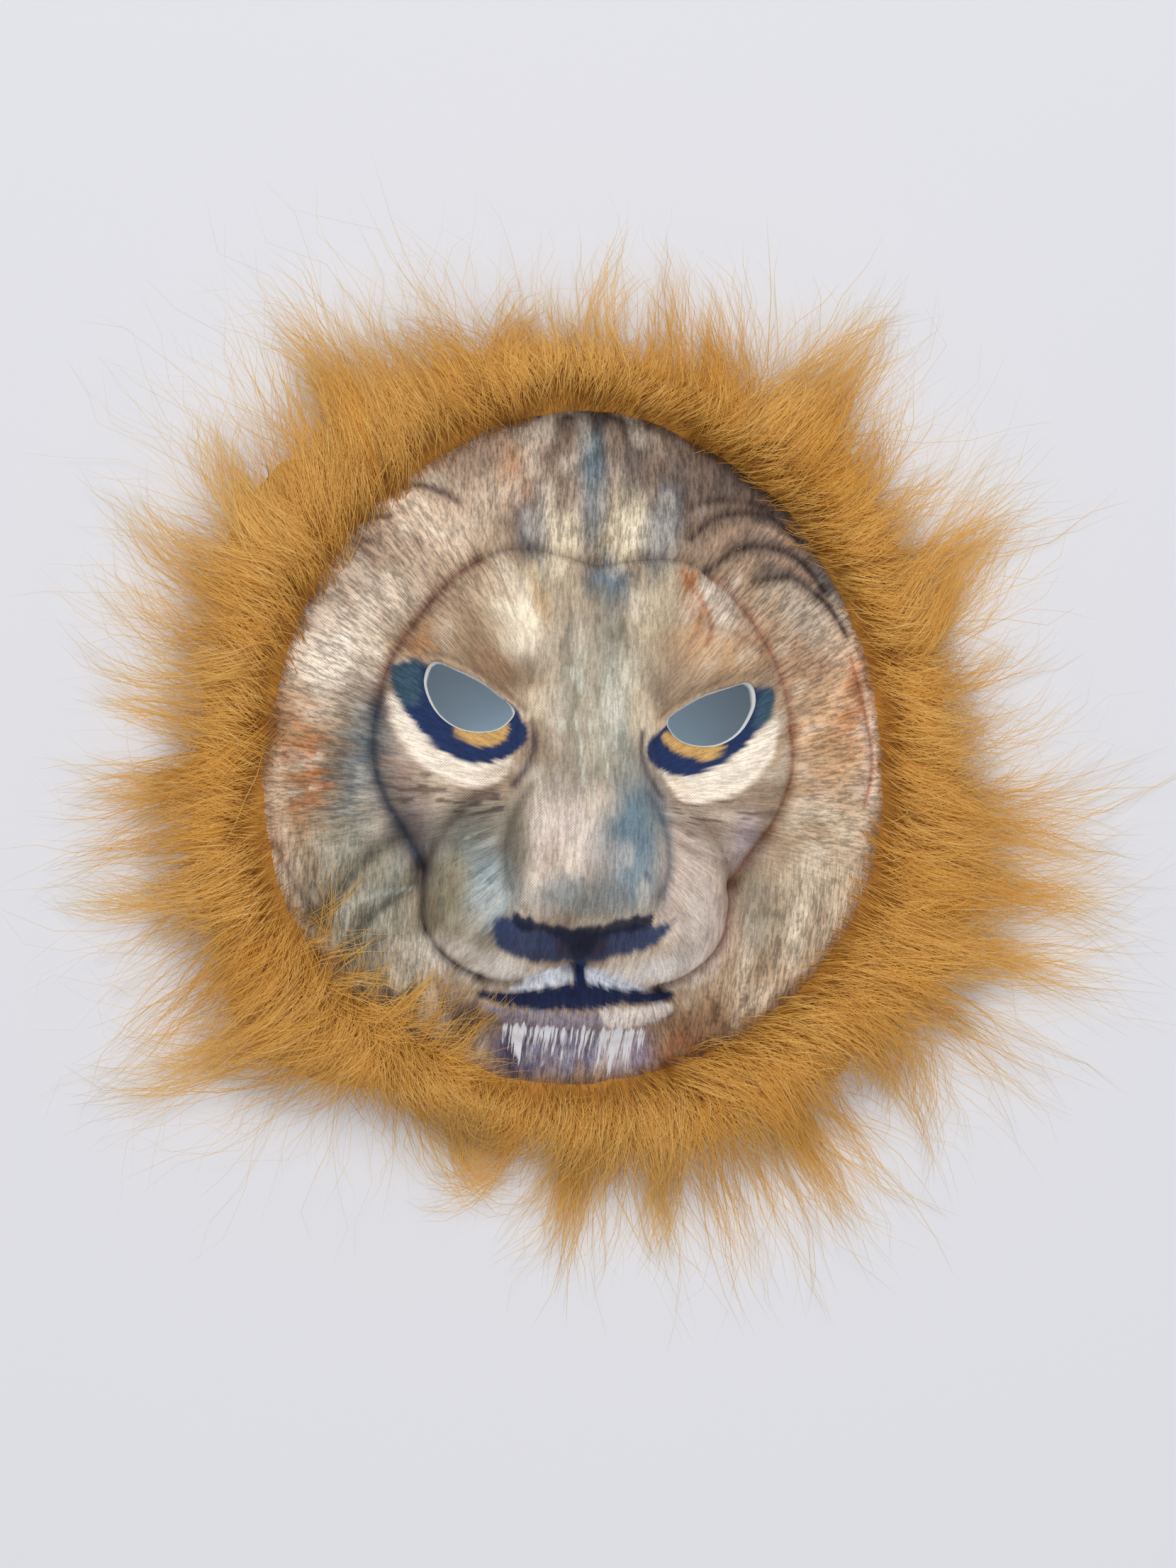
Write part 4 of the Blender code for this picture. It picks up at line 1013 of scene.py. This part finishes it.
# Share of fibres that catch the light, and how much paler they are.
GLINT_SHARE, GLINT = 0.08, 0.9

# A piece of the mane has at most this many triangles.
PIECE_TRIANGLES = 190000


def outward_place(bearing, out):
    """A place past the rim: on the spoke from the face's middle at this bearing, out by this much."""
    reach = rim_radius(bearing) + out
    return reach * np.cos(np.radians(bearing)), reach * np.sin(np.radians(bearing))


def mane_spread(bearing):
    """How far the mane's mass spreads past the rim: a cubic through the table."""
    return periodic(*np.array(MANE_SPREAD, float).T, bearing)


def mass_height(bearing, out):
    """Height of the mane's mass: the section's height between its stations, stretched to the spread there,
    up to 16 % lower over the shell, and with lumps of 12 % either way."""
    stations, heights = np.array(MANE_SECTION, float).T
    share = np.clip(out / mane_spread(bearing), 0, 1)
    inside = np.clip(-out / MANE_LEAN, 0, 1)
    lumps = 1 + 0.24 * (lattice_noise(np.mod(bearing, 360) / 9.0, out / 26.0 + 7, 31) - 0.5)
    return MANE_HEIGHT * np.interp(share, stations, heights) * (1 - 0.16 * inside**2) * lumps


def add_fur_bed(finish):
    """The mane's thick mass, out to between a half and three quarters of its spread: the section carried
    round the rim, a fifth lower than the fibres, with furrows between the tufts and a flat underside."""
    around = 480
    bearing = np.arange(around) * 360.0 / around
    spread = mane_spread(bearing)
    edge = spread * (0.5 + 0.24 * lattice_noise(np.mod(bearing, 360) / 4.0, bearing * 0, 23))
    shares = np.concatenate([np.linspace(-1, 0, 6), np.linspace(0.05, 1.0, 20)])
    rings = []
    for share in shares:
        out = share * (MANE_LEAN if share < 0 else edge)
        x, y = outward_place(bearing, out)
        furrow = lattice_noise(bearing / 3.0 + 5, np.full(around, share * 3 + 9), 21) - 0.5
        fine = lattice_noise(bearing / 1.0 + 5, np.full(around, share * 5 + 9), 22) - 0.5
        z = mass_height(bearing, out) * 0.8 * (1 - 0.5 * max(share, 0) ** 4)
        z = z + 2.5 * furrow + 1.2 * fine - 2.5
        rings.append(np.column_stack([x, y, np.maximum(z, 1.2)]))
    for out, height in ((edge, 0.0), (np.full(around, 0.5), 0.0), (np.full(around, 0.5), 5.0)):
        x, y = outward_place(bearing, out)
        rings.append(np.column_stack([x, y, np.full(around, height)]))
    points = np.concatenate(rings)
    quads = ring_quads(len(rings) + 1, around) % len(points)
    bed = add_mesh("fur_bed", points, quads, finish, ["mane"])
    x, y = points[:, 0], points[:, 1]
    angle = np.arctan2(y, x)
    set_vector(bed, "flow", np.column_stack([np.cos(angle), np.sin(angle), np.hypot(x, y)]))
    return bed


def arc(x, y, heading, turn, length, share):
    """A place on an arc seen from above: the heading starts at one value and turns evenly to the tip."""
    start = np.radians(heading)
    bend = np.radians(turn)
    bend = np.where(np.abs(bend) < 1e-3, 1e-3, bend)
    along = start + bend * share
    return (
        x + length * (np.sin(along) - np.sin(start)) / bend,
        y - length * (np.cos(along) - np.cos(start)) / bend,
        along,
    )


def held_in(values, axis):
    """Eases a coordinate back, on 1 - exp(-t), so that it never gets beyond the stray limit."""
    half = cad_box[1][axis] / MM + STRAY_LIMIT - STRAY_EASE
    middle = -FACE_AT[axis]
    away = np.abs(values - middle)
    eased = half + STRAY_EASE * (1 - np.exp(-np.maximum(away - half, 0) / STRAY_EASE))
    return middle + np.sign(values - middle) * np.where(away > half, eased, away)


def fibres(random, tufts, count, stations, reach, thickness, frizz, converge):
    """Paths, radii and colours of the fibres of some tufts, so many for each.

    Each tuft is a row of bearing, root distance past the rim, heading, turn, length, width, lift and tone.
    A fibre follows its tuft's arc over a share of its length within reach. It is set off sideways by a
    share of the width that shrinks towards the tip, as far as converge says, and frizz waves it sideways
    by two sines. Its height follows the mane's mass, with an arch on top, and stays clear of the cloth."""
    rows = np.repeat(tufts, count, axis=0)
    total = len(rows)
    bearing, out, heading, turn, length, width, lift, tone = rows.T
    side = random.uniform(-1, 1, total)
    out = out + ROOT_SCATTER * random.uniform(-1, 1, total)
    fraction = reach[0] + (reach[1] - reach[0]) * random.uniform(0, 1, total) ** 1.5
    bearing = bearing + np.degrees(side * width * 0.25 / MEAN_RIM) + random.normal(0, 0.5, total)
    x0, y0 = outward_place(bearing, out)
    heading = heading + HEADING_SCATTER * random.standard_t(2.5, total)
    turn = turn + TURN_SCATTER * random.standard_t(2.5, total)
    s = np.linspace(0, 1, stations)[None, :]
    reached = (length * fraction)[:, None]
    x, y, along = arc(x0[:, None], y0[:, None], heading[:, None], turn[:, None], reached, s)
    off = (side * width * 0.3)[:, None] * (1 - converge * s)
    waves = random.uniform(0.5, 1.6, (2, total, 1))
    phases = random.uniform(0, 2 * math.pi, (2, total, 1))
    grow = frizz * reached / 50 * s**1.2
    off = off + grow * np.sin(2 * math.pi * waves[0] * s + phases[0])
    off = off + 0.35 * grow * np.sin(5.3 * math.pi * waves[1] * s + phases[1])
    x = x - np.sin(along) * off
    y = y + np.cos(along) * off
    flat = np.degrees(np.arctan2(y, x))
    past = np.hypot(x, y) - rim_radius(flat)
    level = random.uniform(0.9, 1.06, total)[:, None]
    arch = (lift * random.uniform(0.2, 1.4, total))[:, None] * np.sin(math.pi * s**0.75)
    land = (random.uniform(0.3, 1.0, total) * random.uniform(0.3, 8.0, total))[:, None]
    z = mass_height(flat, past) * level - 3.0 * (1 - s) ** 3 + arch + land * s
    z = z + 0.3 * grow * np.sin(2 * math.pi * waves[1] * s + phases[0])
    over = past < -3
    z[over] = np.maximum(z[over], face_height(x[over], y[over]) + CLOTH_CLEARANCE)
    radius = (thickness * random.uniform(0.7, 1.25, total))[:, None] * (1 - 0.7 * s**1.3)
    path = np.stack([held_in(x, 0), held_in(y, 1), np.maximum(z, TABLE_CLEARANCE)], -1)
    glint = GLINT * (random.random(total) < GLINT_SHARE)
    shade = np.clip(tone + random.normal(0, 0.12, total) + glint, -0.2, 1.3)[:, None]
    return path, radius, fibre_colour(shade, s)


def fibre_colour(shade, share):
    """Linear colour down a fibre: dark at the root, partly as painted shade deep in the pile, then its own
    tone, then paler towards the tip.
    """
    root, body, light, tip = (linear(c) for c in (FUR_SHADED_ROOT, FUR_BODY, FUR_LIGHT, FUR_TIP))
    own = body + shade[..., None] * (light - body)
    start = smooth(-0.15, 0.35, share)[..., None]
    end = smooth(0.5, 1.0, share)[..., None] * 0.7
    colour = root + start * (own - root)
    return colour + end * (tip - colour)


def add_fibres(name, path, radius, colour, finish):
    """Many closed three-sided fibres, each ending in a point, as joined meshes of even size. Only one in
    three meshes casts shadows, because real fibres are much thinner and let most of the light through."""
    stations = path.shape[1]
    triangles = 6 * (stations - 2) + 4
    pieces = max(3, math.ceil(len(path) * triangles / PIECE_TRIANGLES))
    chosen = np.random.default_rng(len(path)).permutation(len(path))
    for number, rows in enumerate(np.array_split(chosen, pieces), 1):
        piece = add_fibre_piece(f"{name}_{number}", path[rows], radius[rows], colour[rows], finish)
        piece.visible_shadow = number % 3 == 0


def add_fibre_piece(name, path, radius, colour, finish):
    """One mesh of fibres: a triangle of points round each station of a path but the last, at its radius,
    and the path's end as the tip."""
    total, stations, _ = path.shape
    tangent = np.gradient(path, axis=1)
    tangent /= np.linalg.norm(tangent, axis=-1, keepdims=True)
    sideways = np.cross(tangent, (0.0, 0.0, 1.0))
    sideways /= np.maximum(np.linalg.norm(sideways, axis=-1, keepdims=True), 1e-6)
    lifted = np.cross(sideways, tangent)
    turns = np.radians([90.0, 210.0, 330.0])
    ring = sideways[:, :-1, None] * np.cos(turns)[:, None] + lifted[:, :-1, None] * np.sin(turns)[:, None]
    body = path[:, :-1, None] + ring * radius[:, :-1, None, None]
    points = np.concatenate([body.reshape(total, -1, 3), path[:, -1:, :]], 1)
    tones = np.concatenate([np.repeat(colour[:, :-1], 3, axis=1), colour[:, -1:]], 1)
    each = points.shape[1]
    one = []
    for k in range(stations - 2):
        for j in range(3):
            a, b = 3 * k + j, 3 * k + (j + 1) % 3
            one += [(a, b + 3, b), (a, a + 3, b + 3)]
    last = 3 * (stations - 2)
    one += [(last + (j + 1) % 3, last + j, each - 1) for j in range(3)]
    one.append((0, 1, 2))
    faces = (np.array(one)[None] + np.arange(total)[:, None, None] * each).reshape(-1, 3)
    made = add_mesh(name, points.reshape(-1, 3), faces, finish, ["mane"])
    set_colour(made, "tone", tones.reshape(-1, 3))
    return made


def lock_strands(random, locks, each, lengths):
    """Every lock of a table, split into strands that share its course and close up towards its tip.
    Lengths are the lowest and highest share of the lock's length that a strand has."""
    table = np.repeat(np.array(locks, float), each, axis=0)
    count = len(table)
    bearing, heading, turn, length, width = table.T
    place = np.tile(np.linspace(-1, 1, each), len(locks)) + random.normal(0, 0.2, count)
    tone = np.repeat(random.uniform(0.1, 0.7, len(locks)), each) + random.normal(0, 0.12, count)
    return np.column_stack([
        bearing - np.degrees(place * width * 0.28 / MEAN_RIM),
        2.0 + random.normal(0, 3, count),
        heading + 7 * place + 1.5 * random.standard_t(3, count),
        turn + 4 * random.standard_t(3, count),
        length * random.uniform(*lengths, count),
        width * random.uniform(0.3, 0.5, count),
        np.repeat(random.uniform(3, 11, len(locks)), each),
        tone,
    ])


def filling_tufts(random, count, out, length, width, lift, scatter, swept, tone=(0.1, 0.6)):
    """Tufts spread evenly round the rim, which end up leaning as the nearest locks do.

    Out and length are pairs of lowest and highest shares of the mane's spread there, and width and tone
    pairs of lowest and highest values. Lift is the height of their arch, and scatter the spread of their
    headings. Swept says how far they follow the lie of the fur along the rim at their roots."""
    table = np.array(LOCKS, float)
    bearing = (np.arange(count) + random.uniform(0, 1, count)) * 360 / count
    around = np.mod(table[:, 0], 360)
    order = np.argsort(around)
    lean = np.mod(table[:, 1] - table[:, 0] + 180, 360) - 180
    whole = np.concatenate([around[order] - 360, around[order], around[order] + 360])
    leaning = np.interp(bearing, whole, np.tile(lean[order], 3))
    turning = np.interp(bearing, whole, np.tile(table[order, 2], 3))
    along = np.interp(bearing, *np.array(RIM_LEAN, float).T)
    start = leaning + swept * (along - leaning)
    spread = mane_spread(bearing)
    return np.column_stack([
        bearing,
        spread * random.uniform(*out, count),
        bearing + start + random.normal(0, scatter, count),
        leaning - start + 0.6 * turning + random.normal(0, scatter + 4, count),
        spread * random.uniform(*length, count),
        random.uniform(*width, count),
        np.full(count, lift),
        random.uniform(*tone, count),
    ])


def crossing_tufts(random, count):
    """Loose tufts that lie across each other and over the low left edge of the face, most of them towards
    the right."""
    return np.column_stack([
        random.uniform(-146, -108, count),
        random.uniform(-10, 2, count),
        random.normal(15, 40, count),
        random.normal(0, 40, count),
        random.uniform(20, 42, count),
        random.uniform(6, 14, count),
        np.full(count, 5.0),
        random.uniform(0, 0.5, count),
    ])


def add_mane(pile, bed):
    """The bed and, over it, seven kinds of fibres. Each takes its tufts, then fibres a tuft, stations,
    reach, thickness, frizz and converge."""
    add_fur_bed(bed)
    random = np.random.default_rng(7)
    locks = lock_strands(random, LOCKS, 7, (0.75, 1.1))
    add_fibres("mane_locks", *fibres(random, locks, 16, 7, (0.32, 1.08), 0.16, 2.2, 0.92), pile)
    long = lock_strands(random, LONG_LOCKS, 5, (0.9, 1.04))
    add_fibres("mane_long_locks", *fibres(random, long, 30, 7, (0.5, 1.08), 0.16, 2.2, 0.96), pile)
    outer = filling_tufts(random, 270, (0.05, 0.4), (0.5, 0.95), (9, 17), 3.0, 9, 0.5)
    add_fibres("mane_outer_fill", *fibres(random, outer, 20, 6, (0.35, 1.1), 0.16, 1.8, 0.8), pile)
    inner = filling_tufts(random, 330, (-0.16, 0.2), (0.8, 1.3), (9, 17), 3.0, 9, 0.9)
    add_fibres("mane_inner_fill", *fibres(random, inner, 17, 6, (0.5, 1.1), 0.16, 1.4, 0.6), pile)
    loose = crossing_tufts(random, 60)
    add_fibres("mane_crossing", *fibres(random, loose, 9, 6, (0.5, 1.1), 0.13, 3.0, 0.5), pile)
    lip = filling_tufts(random, 260, (-0.2, -0.05), (0.4, 0.8), (7, 14), 2.0, 16, 1.0, (0.0, 0.4))
    add_fibres("mane_lip", *fibres(random, lip, 12, 4, (0.5, 1.1), 0.14, 1.4, 0.3), pile)
    wisps = filling_tufts(random, 560, (0.1, 0.7), (1.2, 2.4), (8, 20), 7.0, 18, 0.3, (0.5, 1.1))
    add_fibres("mane_wisps", *fibres(random, wisps, 4, 6, (0.4, 1.0), 0.085, 5.0, 0.1), pile)


# The photograph's view: the camera looks down near the nose, from above and a little to the left.
VIEW_AT = (3.9, -12.9, 15.0)
VIEW_HEIGHT = 650.0
VIEW_TILT = 5.7
VIEW_TURN = 3.5
VIEW_LENS = 41.55


def add_camera():
    """The image's up direction is +Y turned anticlockwise by the view turn, and the camera stands off to
    the image's left by the tilt."""
    turn, tilt = math.radians(VIEW_TURN), math.radians(VIEW_TILT)
    right = np.array([math.cos(turn), math.sin(turn), 0.0])
    up = np.array([-math.sin(turn), math.cos(turn), 0.0])
    drop = VIEW_HEIGHT - VIEW_AT[2]
    back = np.array([0.0, 0.0, drop]) - right * drop * math.tan(tilt)
    place = (np.array(VIEW_AT) + FACE_AT + back) * MM
    z_axis = back / np.linalg.norm(back)
    x_axis = np.cross(up, z_axis)
    x_axis /= np.linalg.norm(x_axis)
    y_axis = np.cross(z_axis, x_axis)
    data = bpy.data.cameras.new("camera")
    data.lens = VIEW_LENS
    data.sensor_width = 36.0
    camera = bpy.data.objects.new("camera", data)
    matrix = np.eye(4)
    matrix[:3, 0], matrix[:3, 1], matrix[:3, 2], matrix[:3, 3] = x_axis, y_axis, z_axis, place
    camera.matrix_world = Matrix(matrix.tolist())
    bpy.context.scene.collection.objects.link(camera)
    bpy.context.scene.camera = camera


def add_light(name, size, power, place, aim):
    """A square area light at a place in metres, turned to face another."""
    data = bpy.data.lights.new(name, "AREA")
    data.size = size
    data.energy = power
    light = bpy.data.objects.new(name, data)
    light.location = place
    light.rotation_euler = (Vector(aim) - Vector(place)).to_track_quat("-Z", "Y").to_euler()
    bpy.context.scene.collection.objects.link(light)
    return data


def add_studio():
    """Pale floor, a broad soft light over the top of the head, a weaker one from below the chin, and a
    pale sky. A faint light inside the shell stands for the daylight that thin white foam lets through."""
    mesh = bpy.data.meshes.new("floor")
    half = 8.0
    corners = [(-half, -half, 0), (half, -half, 0), (half, half, 0), (-half, half, 0)]
    mesh.from_pydata(corners, [], [(0, 1, 2, 3)])
    # Matt white laminate, slightly cool in this light.
    finish = Nodes("pale_floor", roughness=0.9, specular=0.1).finish((*linear("#e7e7eb"), 1.0))
    mesh.materials.append(finish)
    floor = bpy.data.objects.new("floor", mesh)
    bpy.context.scene.collection.objects.link(floor)
    add_light("key", 2.2, 80.0, (-0.4, 2.1, 2.9), (0, 0, 0))
    add_light("fill", 2.0, 30.0, (0.6, -2.3, 2.6), (0, 0, 0))
    inside = (FACE_AT + (0, -42, 26)) * MM
    glow = add_light("light_through_foam", 0.04, 0.029, inside, inside - (0, 0, 0.02))
    glow.color = (0.6, 0.83, 1.0)
    world = bpy.data.worlds.new("sky")
    world.use_nodes = True
    sky = world.node_tree.nodes["Background"]
    sky.inputs["Color"].default_value = (*linear("#f2f4fa"), 1.0)
    sky.inputs["Strength"].default_value = 0.36
    bpy.context.scene.world = world
    bpy.context.scene.view_settings.view_transform = "Standard"


add_cover(printed_cloth())
add_foam(white_foam())
add_mane(fur_pile(), fur_bed())
add_camera()
add_studio()
